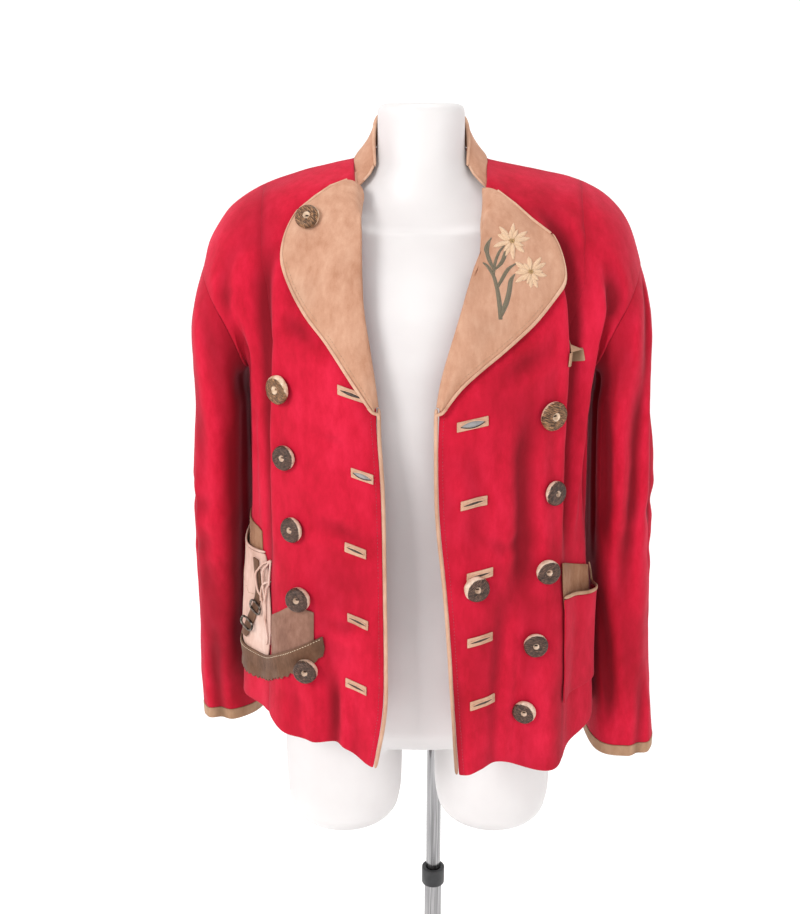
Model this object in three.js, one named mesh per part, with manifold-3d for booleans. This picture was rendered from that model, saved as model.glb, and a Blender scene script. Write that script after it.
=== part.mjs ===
// Trachten blazer in suede, worn open on a limbless dress form with its pole and base.
// Millimetres, +Z up, front towards -Y, the wearer's left towards +X.
import * as THREE from 'three';
import { mergeVertices } from 'three/addons/utils/BufferGeometryUtils.js';
import Module from 'manifold-3d';

// ---------- driving dimensions ----------
const WALL = 2.0; // suede with its turned allowance
const SEAM = 0.3; // space between sewn pieces
const LAID = 0.4; // space under a piece that lies on a panel
const CHEST_Z = 1040; // height where the plain body sections end
const SIDE_SEAM = 94; // degrees round the body from the front
const BUTTON_D = 31;
const BUTTON_THICK = 6.5;
const CUFF_BAND = 15;
const ROUND_OVER = 4; // how late the cloth turns over the shoulder
const BASE_D = 360;
const BASE_H = 8;
const POLE_D = 21;
const POLE_AT = { x: 24, y: 66 };
const TUBE_D = 25;
const RING_Z = 304;
const DEG = Math.PI / 180;

// ---------- body of the jacket ----------
// sections: height, half width, depth in front and behind, squareness
const ARMPIT = 0.16; // share of the upper side edge below the armpit
const BREAK = 1.095; // where the front edge turns into the roll line
const NECK_SHARE = 0.3; // share of the front's top that is neckline
const BACK_SHARE = 0.625; // share of the back's top that is shoulder seam
const YOKE = 0.47; // share of the shoulder seam inside the princess seam
const BODY = [
  { z: 600, half: 231, front: 170, back: 134, square: 2.35 },
  { z: 660, half: 228, front: 169, back: 131, square: 2.35 },
  { z: 740, half: 222, front: 167, back: 127, square: 2.4 },
  { z: 845, half: 216, front: 163, back: 120, square: 2.45 },
  { z: 960, half: 211, front: 157, back: 114, square: 2.45 },
  { z: 1040, half: 209, front: 151, back: 113, square: 2.5 },
];
// front edge (x), princess seam (seam) and hem height by turn round the body
const EDGE_RIGHT = [
  { z: 620, x: 57, seam: 196 },
  { z: 715, x: 44, seam: 192 },
  { z: 845, x: 45, seam: 188 },
  { z: 964, x: 47, seam: 184 },
  { z: 1040, x: 52, seam: 182 },
];
const EDGE_LEFT = [
  { z: 612, x: 48, seam: 176 },
  { z: 715, x: 40, seam: 174 },
  { z: 845, x: 30, seam: 174 },
  { z: 964, x: 19, seam: 176 },
  { z: 1040, x: 18, seam: 180 },
];
const HEM_RIGHT = [
  { turn: 0, z: 619 },
  { turn: 20, z: 625 },
  { turn: 34, z: 646 },
  { turn: 50, z: 651 },
  { turn: 64, z: 664 },
  { turn: 80, z: 662 },
  { turn: 110, z: 650 },
  { turn: 180, z: 636 },
];
const HEM_LEFT = [
  { turn: 0, z: 608 },
  { turn: 17, z: 611 },
  { turn: 32, z: 623 },
  { turn: 41, z: 610 },
  { turn: 50, z: 602 },
  { turn: 60, z: 614 },
  { turn: 76, z: 630 },
  { turn: 100, z: 636 },
  { turn: 180, z: 636 },
];
// folds: where (degrees), how wide, how deep (out is positive), heights, lean per metre
const FOLDS_RIGHT = [
  { turn: 34, wide: 9, deep: -7, low: 560, high: 900, lean: 6 },
  { turn: 50, wide: 8, deep: 8, low: 560, high: 940, lean: -8 },
  { turn: 66, wide: 6, deep: -9, low: 640, high: 1150, lean: 10 },
  { turn: 80, wide: 8, deep: 7, low: 560, high: 900, lean: 0 },
  { turn: 112, wide: 8, deep: -8, low: 560, high: 1090, lean: -14 },
  { turn: 134, wide: 10, deep: 7, low: 560, high: 900, lean: 10 },
  { turn: 154, wide: 9, deep: -7, low: 560, high: 1000, lean: 8 },
];
const FOLDS_LEFT = [
  { turn: 36, wide: 7, deep: -13, low: 560, high: 1040, lean: 12 },
  { turn: 49, wide: 8, deep: 11, low: 560, high: 960, lean: 8 },
  { turn: 63, wide: 6, deep: -10, low: 560, high: 1150, lean: 6 },
  { turn: 78, wide: 8, deep: 6, low: 560, high: 900, lean: 0 },
  { turn: 108, wide: 9, deep: -7, low: 560, high: 1080, lean: -12 },
  { turn: 130, wide: 9, deep: 8, low: 560, high: 860, lean: 12 },
  { turn: 158, wide: 10, deep: -6, low: 560, high: 960, lean: -8 },
];
// roll line of the lapel, from the chest to the collar's front end
const ROLL_RIGHT = [
  { x: 52, y: -151, z: 1066 },
  { x: 56, y: -148, z: 1100 },
  { x: 69, y: -131, z: 1189 },
  { x: 71, y: -104, z: 1258 },
  { x: 77, y: -40, z: 1302 },
];
const ROLL_LEFT = [
  { x: 18, y: -152, z: 1066 },
  { x: 23, y: -148, z: 1100 },
  { x: 50, y: -131, z: 1189 },
  { x: 68, y: -102, z: 1256 },
  { x: 80, y: -40, z: 1300 },
];
// princess seam above the chest, neckline and shoulder seam, armhole halves
const PRINCESS = [
  { x: 178, y: -97, z: 1076 },
  { x: 183, y: -92, z: 1160 },
  { x: 187, y: -74, z: 1236 },
  { x: 189, y: -34, z: 1292 },
];
const NECKLINE = [
  { x: 78, y: -10, z: 1321 },
  { x: 80, y: 20, z: 1337 },
];
const SHOULDER_RIGHT = [
  { x: 109, y: 20, z: 1331 },
  { x: 145, y: 20, z: 1323 },
  { x: 182, y: 20, z: 1310 },
  { x: 208, y: 20, z: 1297 },
  { x: 231, y: 20, z: 1278 },
  { x: 246, y: 20, z: 1258 },
  { x: 258, y: 20, z: 1235 },
  { x: 265, y: 20, z: 1212 },
];
const SHOULDER_LEFT = [
  { x: 112, y: 20, z: 1329 },
  { x: 148, y: 20, z: 1323 },
  { x: 185, y: 20, z: 1314 },
  { x: 210, y: 20, z: 1304 },
  { x: 235, y: 20, z: 1286 },
  { x: 250, y: 20, z: 1268 },
  { x: 263, y: 20, z: 1240 },
  { x: 271, y: 20, z: 1212 },
];
const BACK_NECK = [
  { x: 62, y: 54, z: 1346 },
  { x: 34, y: 73, z: 1351 },
  { x: 0, y: 79, z: 1352 },
];
const ARMHOLE_FRONT = [
  { x: 210, y: 15, z: 1085 },
  { x: 211, y: -36, z: 1093 },
  { x: 214, y: -66, z: 1115 },
  { x: 224, y: -78, z: 1143 },
  { x: 243, y: -68, z: 1173 },
  { x: 259, y: -32, z: 1201 },
];
const ARMHOLE_BACK = [
  { x: 210, y: 15, z: 1085 },
  { x: 211, y: 46, z: 1098 },
  { x: 214, y: 68, z: 1124 },
  { x: 226, y: 79, z: 1155 },
  { x: 246, y: 74, z: 1186 },
  { x: 261, y: 50, z: 1206 },
];
const CENTRE_BACK = [
  { x: 0, y: 116, z: 1076 },
  { x: 0, y: 125, z: 1160 },
  { x: 0, y: 123, z: 1240 },
  { x: 0, y: 107, z: 1310 },
  { x: 0, y: 79, z: 1352 },
];

const lapelRight = [
  { x: 55, z: 1066 },
  { x: 72, z: 1092 },
  { x: 103, z: 1140 },
  { x: 146, z: 1197 },
  { x: 157, z: 1250 },
  { x: 138, z: 1282 },
];
const lapelLeft = [
  { x: 21, z: 1066 },
  { x: 38, z: 1091 },
  { x: 66, z: 1115 },
  { x: 123, z: 1163 },
  { x: 160, z: 1215 },
  { x: 144, z: 1256 },
];

const SIDES = {
  right: { name: 'right', sign: -1, spread: 1, edge: EDGE_RIGHT, hem: HEM_RIGHT },
  left: { name: 'left', sign: 1, spread: -2, edge: EDGE_LEFT, hem: HEM_LEFT },
};
Object.assign(SIDES.right, { folds: FOLDS_RIGHT, roll: ROLL_RIGHT, lapel: lapelRight });
SIDES.right.shoulder = SHOULDER_RIGHT;
Object.assign(SIDES.left, { folds: FOLDS_LEFT, roll: ROLL_LEFT, lapel: lapelLeft });
SIDES.left.shoulder = SHOULDER_LEFT;
// faces of the panels: outer ones, and of the whole bodies
Object.assign(SIDES.right, { cloth: [], solid: [] });
Object.assign(SIDES.left, { cloth: [], solid: [] });

// ---------- small helpers ----------
const V = (x, y, z) => new THREE.Vector3(x, y, z);
const mix = (a, b, t) => a + (b - a) * t;
const clamp = (x, low, high) => Math.min(high, Math.max(low, x));
const ease = (x) => clamp(x, 0, 1) ** 2 * (3 - 2 * clamp(x, 0, 1));
const blend = (a, b, t) => a.clone().lerp(b, t);
const span = (count) => Array.from({ length: count + 1 }, (_, i) => i / count);

// One column of a table read at a value of its key, without overshoot.
function read(rows, key, at, column) {
  const last = rows.length - 1;
  if (at <= rows[0][key]) return rows[0][column];
  if (at >= rows[last][key]) return rows[last][column];
  const i = rows.findIndex((row) => row[key] > at) - 1;
  const slope = (k) =>
    (rows[k + 1][column] - rows[k][column]) / (rows[k + 1][key] - rows[k][key]);
  const tangent = (k) => {
    if (k === 0) return slope(0);
    if (k === last) return slope(last - 1);
    const [before, after] = [slope(k - 1), slope(k)];
    return before * after <= 0 ? 0 : (2 * before * after) / (before + after);
  };
  const h = rows[i + 1][key] - rows[i][key];
  const t = (at - rows[i][key]) / h;
  const rise = rows[i][column] * (1 - ease(t)) + rows[i + 1][column] * ease(t);
  return rise + h * t * (1 - t) * (tangent(i) * (1 - t) - tangent(i + 1) * t);
}

function curve(side, rows, first) {
  const points = rows.map((r) => V(side.sign * r.x, r.y, r.z));
  const all = first ? [first, ...points] : points;
  const made = new THREE.CatmullRomCurve3(all, false, 'centripetal');
  return (f) => made.getPointAt(clamp(f, 0, 1));
}

// Two curves end to end; the first takes the given share of the parameter.
function chain(one, two, share) {
  return (f) => (f < share ? one(f / share) : two((f - share) / (1 - share)));
}

// ---------- the jacket's surface ----------
function across(side, z, x) {
  const n = read(BODY, 'z', z, 'square');
  const half = read(BODY, 'z', z, 'half') + side.spread;
  const y = read(BODY, 'z', z, 'front') * (1 - (x / half) ** n) ** (1 / n);
  return Math.atan2(x, y) / DEG;
}

function turnAt(side, u, z) {
  const front = across(side, z, read(side.edge, 'z', z, 'x'));
  const princess = across(side, z, read(side.edge, 'z', z, 'seam'));
  const knots = [front, princess, SIDE_SEAM, 180];
  const k = clamp(Math.floor(u), 0, 2);
  return mix(knots[k], knots[k + 1], u - k);
}

function foldAt(side, turn, z) {
  const folds = side.folds.map((f) => {
    const middle = f.turn + (f.lean * (z - f.low)) / 1000;
    const shape = Math.exp(-(((turn - middle) / f.wide) ** 2));
    return f.deep * shape * ease((f.high - z) / (0.55 * (f.high - f.low)));
  });
  return folds.reduce((sum, d) => sum + d, 0) * ease((176 - turn) / 10);
}

function ring(side, turn, z) {
  const n = read(BODY, 'z', z, 'square');
  const half = read(BODY, 'z', z, 'half') + side.spread;
  const deep = read(BODY, 'z', z, turn < 90 ? 'front' : 'back');
  const [s, c] = [Math.sin(turn * DEG), Math.cos(turn * DEG)];
  const r = (Math.abs(s / half) ** n + Math.abs(c / deep) ** n) ** (-1 / n);
  return V(side.sign * r * s, -r * c, z);
}

function chest(side, u) {
  return ring(side, turnAt(side, u, CHEST_Z), CHEST_Z);
}

function edges(side) {
  const armpit = ARMHOLE_FRONT[0];
  const seamStart = chest(side, 2);
  const low = { x: side.sign * seamStart.x, y: seamStart.y, z: mix(CHEST_Z, armpit.z, 0.5) };
  const seam = curve(side, [low, armpit], seamStart);
  const end = side.roll[side.roll.length - 1];
  const neck = curve(side, [end, ...NECKLINE]);
  const backNeck = curve(side, [NECKLINE[1], ...BACK_NECK]);
  const shoulder = curve(side, [NECKLINE[1], ...side.shoulder]);
  const tip = side.shoulder[side.shoulder.length - 1];
  const yoke = shoulder(YOKE);
  const yokeRow = { x: Math.abs(yoke.x), y: yoke.y, z: yoke.z };
  const princess = curve(side, [...PRINCESS, yokeRow], chest(side, 1));
  side.patches = [
    {
      from: curve(side, side.roll, chest(side, 0)),
      to: princess,
      top: chain(neck, (f) => shoulder(f * YOKE), NECK_SHARE),
    },
    {
      from: princess,
      to: chain(seam, curve(side, [...ARMHOLE_FRONT, tip]), ARMPIT),
      top: (f) => shoulder(mix(YOKE, 1, f)),
    },
    {
      from: chain(seam, curve(side, [...ARMHOLE_BACK, tip]), ARMPIT),
      to: curve(side, CENTRE_BACK, chest(side, 3)),
      top: chain((f) => shoulder(1 - f), backNeck, BACK_SHARE),
    },
  ];
}
edges(SIDES.right);
edges(SIDES.left);

function upper(side, u, v) {
  const k = clamp(Math.floor(u), 0, 2);
  const w = clamp(u - k, 0, 1);
  const { from, to, top } = side.patches[k];
  const point = blend(from(v), to(v), w);
  const under = chest(side, k + w).sub(blend(from(0), to(0), w));
  const over = top(w).sub(blend(from(1), to(1), w));
  point.addScaledVector(under, 1 - ease(v));
  return point.add(V(over.x * ease(v), over.y * v ** ROUND_OVER, over.z * ease(v)));
}

// u: 0 front edge, 1 princess seam, 2 side seam, 3 centre back; v: 0 hem, 1 chest, 2 top
function surface(side, u, v) {
  let point;
  if (v < 1) {
    const rough = turnAt(side, u, 640);
    const z = mix(read(side.hem, 'turn', rough, 'z'), CHEST_Z, v);
    point = ring(side, turnAt(side, u, z), z);
  } else {
    point = upper(side, u, Math.min(1, v - 1));
  }
  const turn = turnAt(side, u, Math.min(point.z, CHEST_Z));
  const out = V(side.sign * Math.sin(turn * DEG), -Math.cos(turn * DEG), 0);
  return point.addScaledVector(out, foldAt(side, turn, point.z));
}

function patchFrame(side, u, v, patch) {
  const step = 0.004;
  const [u0, u1] = [Math.max(u - step, patch), Math.min(u + step, patch + 1 - 1e-6)];
  const [v0, v1] = [Math.max(v - step, 0), Math.min(v + step, 2)];
  const along = surface(side, u1, v).sub(surface(side, u0, v)).divideScalar(u1 - u0);
  const up = surface(side, u, v1).sub(surface(side, u, v0)).divideScalar(v1 - v0);
  const normal = along.clone().cross(up).normalize().multiplyScalar(side.sign);
  return { point: surface(side, u, v), along, up, normal };
}

// Point, directions and normal; panels that meet at a seam share its normal.
function frameAt(side, u, v) {
  const patch = clamp(Math.floor(u), 0, 2);
  const frame = patchFrame(side, u, v, patch);
  const seam = Math.round(u);
  const open = seam === 2 && v > 1.16;
  if (Math.abs(u - seam) < 1e-4 && (seam === 1 || seam === 2) && !open) {
    const [before, after] = [seam - 1e-5, seam + 1e-5];
    frame.normal = patchFrame(side, before, v, seam - 1).normal;
    frame.normal.add(patchFrame(side, after, v, seam).normal).normalize();
  }
  const onSeam = (p) => Math.abs(p.y - NECKLINE[1].y) < 0.05;
  if (v > 2 - 1e-6 && onSeam(frame.point)) {
    const { top } = side.patches[patch];
    const ends = [top(clamp(u - patch - 0.02, 0, 1)), top(clamp(u - patch + 0.02, 0, 1))];
    const [a, b] = ends.map((p) => (onSeam(p) ? p : frame.point));
    frame.normal = V(b.z - a.z, 0, a.x - b.x).normalize();
    if (frame.normal.z < 0) frame.normal.negate();
  }
  return frame;
}

// The place on the jacket that has a given distance from the middle and height.
function place(side, x, z) {
  let u = clamp(x / 190, 0.02, 1.6);
  let v = z < CHEST_Z ? clamp((z - 620) / 420, 0, 1) : clamp(1 + (z - CHEST_Z) / 270, 1, 2);
  for (let i = 0; i < 24; i += 1) {
    const f = frameAt(side, clamp(u, 0, 2.4), clamp(v, 0, 2));
    const [ex, ez] = [side.sign * x - f.point.x, z - f.point.z];
    const det = f.along.x * f.up.z - f.along.z * f.up.x;
    const safe = Math.sign(det) * Math.max(Math.abs(det), 200);
    u = clamp(u + clamp((ex * f.up.z - ez * f.up.x) / safe, -0.2, 0.2), 0, 2.4);
    v = clamp(v + clamp((ez * f.along.x - ex * f.along.z) / safe, -0.2, 0.2), 0, 2);
  }
  return { ...frameAt(side, u, v), u, v };
}

// ---------- solids ----------
const group = new THREE.Group();
group.name = 'trachten_blazer';

function volume(points, faces) {
  return faces.reduce((sum, [a, b, c]) => {
    const [p, q, r] = [points[a], points[b], points[c]];
    return sum + p.dot(q.clone().cross(r));
  }, 0);
}

function geometryOf(points, faces) {
  const flip = volume(points, faces) < 0;
  const kept = faces.map(([a, b, c]) => (flip ? [a, c, b] : [a, b, c]));
  const geometry = new THREE.BufferGeometry();
  const flat = points.flatMap((p) => [p.x, p.y, p.z]);
  geometry.setAttribute('position', new THREE.Float32BufferAttribute(flat, 3));
  geometry.setIndex(kept.flat());
  return geometry;
}

// A closed sheet between two grids of points, outer and inner.
function sheet(outer, inner) {
  const [rows, columns] = [outer.length, outer[0].length];
  const points = [...outer.flat(), ...inner.flat()];
  const half = rows * columns;
  const faces = [];
  const quad = (a, b, c, d) => faces.push([a, b, c], [a, c, d]);
  const id = (i, j) => i * columns + j;
  for (let i = 0; i + 1 < rows; i += 1) {
    for (let j = 0; j + 1 < columns; j += 1) {
      const cell = [id(i, j), id(i, j + 1), id(i + 1, j + 1), id(i + 1, j)];
      quad(...cell);
      quad(...[...cell].reverse().map((k) => k + half));
    }
  }
  const rim = [];
  for (let j = 0; j < columns - 1; j += 1) rim.push(id(0, j));
  for (let i = 0; i < rows - 1; i += 1) rim.push(id(i, columns - 1));
  for (let j = columns - 1; j > 0; j -= 1) rim.push(id(rows - 1, j));
  for (let i = rows - 1; i > 0; i -= 1) rim.push(id(i, 0));
  rim.forEach((a, k) => {
    const b = rim[(k + 1) % rim.length];
    quad(b, a, a + half, b + half);
  });
  return geometryOf(points, faces);
}

// A closed body through loops of points; the last loop joins the first where it is a ring.
function loft(loops, ends = 'capped') {
  const [rows, columns] = [loops.length, loops[0].length];
  const points = loops.flat();
  const faces = [];
  const stop = ends === 'ring' ? rows : rows - 1;
  for (let i = 0; i < stop; i += 1) {
    for (let j = 0; j < columns; j += 1) {
      const [p, q] = [i * columns, ((i + 1) % rows) * columns];
      const k = (j + 1) % columns;
      faces.push([p + j, p + k, q + k], [p + j, q + k, q + j]);
    }
  }
  if (ends === 'ring') return geometryOf(points, faces);
  const cap = (start, turned) => {
    const loop = points.slice(start, start + columns);
    const middle = loop.reduce((sum, p) => sum.add(p), V(0, 0, 0)).divideScalar(columns);
    points.push(middle);
    const m = points.length - 1;
    for (let j = 0; j < columns; j += 1) {
      const [a, b] = [start + j, start + ((j + 1) % columns)];
      faces.push(turned ? [m, a, b] : [m, b, a]);
    }
  };
  cap(0, false);
  cap((rows - 1) * columns, true);
  return geometryOf(points, faces);
}

const wasm = await Module();
wasm.setup();

function toManifold(geometry) {
  const bare = new THREE.BufferGeometry();
  bare.setAttribute('position', geometry.getAttribute('position'));
  bare.setIndex(geometry.getIndex());
  const merged = mergeVertices(bare, 1e-4);
  const vertProperties = new Float32Array(merged.getAttribute('position').array);
  const triVerts = new Uint32Array(merged.getIndex().array);
  return new wasm.Manifold(new wasm.Mesh({ numProp: 3, vertProperties, triVerts }));
}

function fromManifold(solid) {
  const mesh = solid.getMesh();
  const geometry = new THREE.BufferGeometry();
  geometry.setAttribute('position', new THREE.BufferAttribute(mesh.vertProperties, 3));
  geometry.setIndex(new THREE.BufferAttribute(mesh.triVerts, 1));
  return geometry;
}

const COLOURS = {
  red_suede: { color: 0xb01228, roughness: 0.85, metalness: 0 },
  tan_suede: { color: 0xd8ab88, roughness: 0.85, metalness: 0 },
  tan_binding: { color: 0xe2b892, roughness: 0.8, metalness: 0 },
  brown_suede: { color: 0x75563b, roughness: 0.85, metalness: 0 },
  pocket_suede: { color: 0xa07c60, roughness: 0.85, metalness: 0 },
  horn: { color: 0x4a3428, roughness: 0.35, metalness: 0 },
  buckle_metal: { color: 0x4c4842, roughness: 0.4, metalness: 0.9 },
  form_white: { color: 0xf0eeee, roughness: 0.3, metalness: 0 },
  chrome: { color: 0xc9cccf, roughness: 0.12, metalness: 1 },
  black_clamp: { color: 0x1d1d1f, roughness: 0.5, metalness: 0 },
  base_metal: { color: 0xc2c5c8, roughness: 0.25, metalness: 1 },
};

function piece(name, geometry, kind) {
  const mesh = new THREE.Mesh(geometry, new THREE.MeshStandardMaterial(COLOURS[kind]));
  mesh.name = name;
  mesh.material.name = kind;
  group.add(mesh);
}

// ---------- body panels ----------
const ROWS_LOW = 12;
const ROWS_HIGH = 10;
const V_STEPS = [...span(ROWS_LOW), ...span(ROWS_HIGH).map((t) => 1 + mix(ARMPIT, 1, t))];

// Moves an edge point of a grid half a seam's width towards its neighbour.
function inset(grid, half = SEAM / 2) {
  const pull = (p, q) => p.add(q.clone().sub(p).setLength(half));
  grid.forEach((row) => {
    pull(row[0], row[1]);
    pull(row[row.length - 1], row[row.length - 2]);
  });
  const [last, before] = [grid[grid.length - 1], grid[grid.length - 2]];
  last.forEach((p, j) => pull(p, before[j]));
}

function panelGrids(steps) {
  const frames = V_STEPS.map((v) => steps.map(({ side, u }) => frameAt(side, u, v)));
  frames.forEach((row) => {
    const middle = row.find((f, j) => j > 0 && steps[j].u > 3 - 1e-4);
    if (middle) middle.normal.setX(0).normalize();
  });
  const outer = frames.map((row) => row.map((f) => f.point.clone()));
  inset(outer);
  const inner = outer.map((row, i) =>
    row.map((p, j) => p.clone().addScaledVector(frames[i][j].normal, -WALL)),
  );
  lining.push(...facets(inner, bodyOut).filter((face) => face.a.z > CHEST_Z));
  return [outer, inner];
}

// The triangles of a grid of points, turned to face the way that outward gives.
function facets(grid, outward) {
  const list = [];
  const add = (a, b, c) => {
    const face = new THREE.Triangle(a, b, c);
    const turned = face.getNormal(V(0, 0, 0)).dot(outward(a)) < 0;
    list.push(turned ? new THREE.Triangle(a, c, b) : face);
  };
  for (let i = 0; i + 1 < grid.length; i += 1) {
    for (let j = 0; j + 1 < grid[0].length; j += 1) {
      const [a, b, c, d] = [grid[i][j], grid[i][j + 1], grid[i + 1][j + 1], grid[i + 1][j]];
      add(a, b, c);
      add(a, c, d);
    }
  }
  return list;
}

// The nearest place on a list of triangles.
function nearest(faces, point) {
  const [near, best] = [V(0, 0, 0), { gap: Infinity }];
  faces.forEach((face) => {
    face.closestPointToPoint(point, near);
    const gap = near.distanceTo(point);
    if (gap < best.gap) Object.assign(best, { gap, at: near.clone(), face });
  });
  return best;
}

// The triangles of a closed body.
function facetsOf(geometry) {
  const [at, index] = [geometry.getAttribute('position'), geometry.getIndex().array];
  const corner = (k) => new THREE.Vector3().fromBufferAttribute(at, index[k]);
  return span(index.length / 3 - 1).map((_, i) => {
    return new THREE.Triangle(corner(3 * i), corner(3 * i + 1), corner(3 * i + 2));
  });
}

// How high a point stands over faces that look outward; no limit where it is beside them.
function heightOver(faces, point) {
  const near = V(0, 0, 0);
  let best = { gap: Infinity, height: 0 };
  faces.forEach((face) => {
    face.closestPointToPoint(point, near);
    const gap = near.distanceTo(point);
    if (gap > best.gap + 1e-6) return;
    const height = point.clone().sub(near).dot(face.getNormal(V(0, 0, 0)));
    if (gap < best.gap - 1e-6 || Math.abs(height) > Math.abs(best.height)) best = { gap, height };
  });
  return Math.abs(best.height) > 0.6 * best.gap ? Math.sign(best.height) * best.gap : Infinity;
}

// Moves a grid's points along their ways until its facets stand the gap over the faces.
const REACH = 12; // how far beyond a cell its faces are looked for
const MOST = 5; // the furthest that a point is moved
const SAMPLES = [[1, 0, 0], [0, 1, 0], [0, 0, 1], [0.5, 0.5, 0], [0, 0.5, 0.5], [0.5, 0, 0.5], [1, 1, 1]];
const CORNERS = [[[0, 0], [0, 1], [1, 1]], [[0, 0], [1, 1], [1, 0]]];
function cleared(points, ways, faces, gap) {
  const shift = points.map((row) => row.map(() => 0));
  const boxes = faces.map((f) => new THREE.Box3().setFromPoints([f.a, f.b, f.c]));
  const cells = points.slice(1).flatMap((_, i) =>
    points[0].slice(1).map((__, j) => {
      const corners = [points[i][j], points[i][j + 1], points[i + 1][j], points[i + 1][j + 1]];
      const box = new THREE.Box3().setFromPoints(corners).expandByScalar(REACH);
      return { i, j, faces: faces.filter((f, k) => boxes[k].intersectsBox(box)) };
    }),
  );
  const moved = (i, j) => points[i][j].clone().addScaledVector(ways[i][j], shift[i][j]);
  for (let round = 0; round < 12; round += 1) {
    const push = points.map((row) => row.map(() => 0));
    cells.filter((cell) => cell.faces.length > 0).forEach((cell) => {
      CORNERS.forEach((corners) => {
        const ids = corners.map(([di, dj]) => [cell.i + di, cell.j + dj]);
        const at = ids.map(([i, j]) => moved(i, j));
        SAMPLES.forEach((weights) => {
          const sum = weights[0] + weights[1] + weights[2];
          const p = at.reduce((q, c, k) => q.addScaledVector(c, weights[k] / sum), V(0, 0, 0));
          const need = gap - heightOver(cell.faces, p);
          ids.forEach(([i, j], k) => {
            if (weights[k] > 0) push[i][j] = Math.max(push[i][j], need);
          });
        });
      });
    });
    push.forEach((row, i) =>
      row.forEach((d, j) => {
        if (d > 0.01) shift[i][j] = Math.min(MOST, shift[i][j] + d + 0.02);
      }),
    );
    if (Math.max(...push.flat()) <= 0.01) break;
  }
  return shift;
}

const lining = []; // inner faces of the jacket, facing out
const bodyOut = (p) => V(p.x, p.y - 20, Math.max(0, p.z - 1150));

const CLOSE = 1 - 1e-6;
function panel(name, side, patch, columns) {
  const steps = span(columns).map((t) => ({ side, u: patch + t * CLOSE }));
  const [outer, inner] = panelGrids(steps);
  const solid = sheet(outer, inner);
  side.cloth.push(...facets(outer, bodyOut));
  side.solid.push(...facetsOf(solid));
  piece(name, solid, 'red_suede');
}

for (const side of Object.values(SIDES)) {
  panel(`front_${side.name}`, side, 0, 10);
  panel(`side_${side.name}`, side, 1, 6);
}
const BACK_COLUMNS = 8;
const backHalf = span(BACK_COLUMNS).map((t) => 2 + t * CLOSE);
const backSteps = [
  ...backHalf.map((u) => ({ side: SIDES.right, u })),
  ...backHalf.slice(0, -1).reverse().map((u) => ({ side: SIDES.left, u })),
];
piece('back', sheet(...panelGrids(backSteps)), 'red_suede');

// ---------- sleeves ----------
// sections: height, outer and inner reach in x, middle and half depth in y
const SLEEVE_RIGHT = [
  { z: 560, outer: 300, inner: 233, middle: 84, deep: 60 },
  { z: 640, outer: 301, inner: 234, middle: 76, deep: 63 },
  { z: 730, outer: 299, inner: 230, middle: 62, deep: 68 },
  { z: 830, outer: 295, inner: 224, middle: 43, deep: 71 },
  { z: 940, outer: 288, inner: 219, middle: 26, deep: 75 },
  { z: 1040, outer: 279, inner: 216, middle: 13, deep: 77 },
];
const SLEEVE_LEFT = [
  { z: 560, outer: 320, inner: 232, middle: 16, deep: 58 },
  { z: 640, outer: 313, inner: 231, middle: 18, deep: 62 },
  { z: 730, outer: 307, inner: 228, middle: 20, deep: 67 },
  { z: 830, outer: 302, inner: 223, middle: 19, deep: 71 },
  { z: 940, outer: 293, inner: 219, middle: 15, deep: 75 },
  { z: 1040, outer: 284, inner: 216, middle: 12, deep: 77 },
];
// folds: height, place round the sleeve (0 inner, 90 front, 180 outer), extents, depth
const SLEEVE_FOLDS = [
  { z: 1110, turn: 105, wide: 18, tall: 70, deep: -6 },
  { z: 1000, turn: 70, wide: 14, tall: 90, deep: -6 },
  { z: 930, turn: 130, wide: 18, tall: 70, deep: 5 },
  { z: 880, turn: 100, wide: 16, tall: 110, deep: -6 },
  { z: 800, turn: 150, wide: 22, tall: 60, deep: -5 },
  { z: 740, turn: 75, wide: 18, tall: 80, deep: 5 },
  { z: 690, turn: 115, wide: 16, tall: 70, deep: -6 },
  { z: 900, turn: 250, wide: 20, tall: 100, deep: -7 },
  { z: 780, turn: 215, wide: 20, tall: 60, deep: 5 },
  { z: 700, turn: 265, wide: 18, tall: 80, deep: -5 },
];
Object.assign(SIDES.right, { sleeve: SLEEVE_RIGHT, cuffZ: 576, tilt: -0.17, sway: 0 });
Object.assign(SIDES.left, { sleeve: SLEEVE_LEFT, cuffZ: 568, tilt: 0.05, sway: 24 });
const SLEEVE_COLUMNS = 2 * ROWS_HIGH;
const SLEEVE_HIGH = 6;
const SLEEVE_LOW = 11;
const SLEEVE_ROUND = 2.8;
const HUG = 0.8; // how closely the inner side of a sleeve follows the body
const ARM_GAP = { armpit: 2.3, rest: 0.45 };

function sleeveRing(side, turn, z) {
  const get = (column) => read(side.sleeve, 'z', z, column);
  const [c, s] = [Math.cos(turn * DEG), Math.sin(turn * DEG)];
  const power = 2 / SLEEVE_ROUND;
  const half = (get('outer') - get('inner')) / 2;
  const x = get('inner') + half * (1 - Math.sign(c) * Math.abs(c) ** power);
  const y = get('middle') - Math.sign(s) * get('deep') * Math.abs(s) ** power;
  const body = (column) => read(BODY, 'z', z, column);
  const share = clamp(Math.abs(y) / body(y < 0 ? 'front' : 'back'), 0, 0.9);
  const retreat = body('half') * (1 - (1 - share ** body('square')) ** (1 / body('square')));
  const inward = HUG * retreat * ((1 + c) / 2) ** 1.5;
  return V(side.sign * (x - Math.min(inward, 14)), y, z);
}

function sleeveFold(side, turn, z) {
  return SLEEVE_FOLDS.reduce((sum, f) => {
    const away = (turn - f.turn - side.sway) / f.wide;
    return sum + f.deep * Math.exp(-(away ** 2) - ((z - f.z - side.sway) / f.tall) ** 2);
  }, 0);
}

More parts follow.
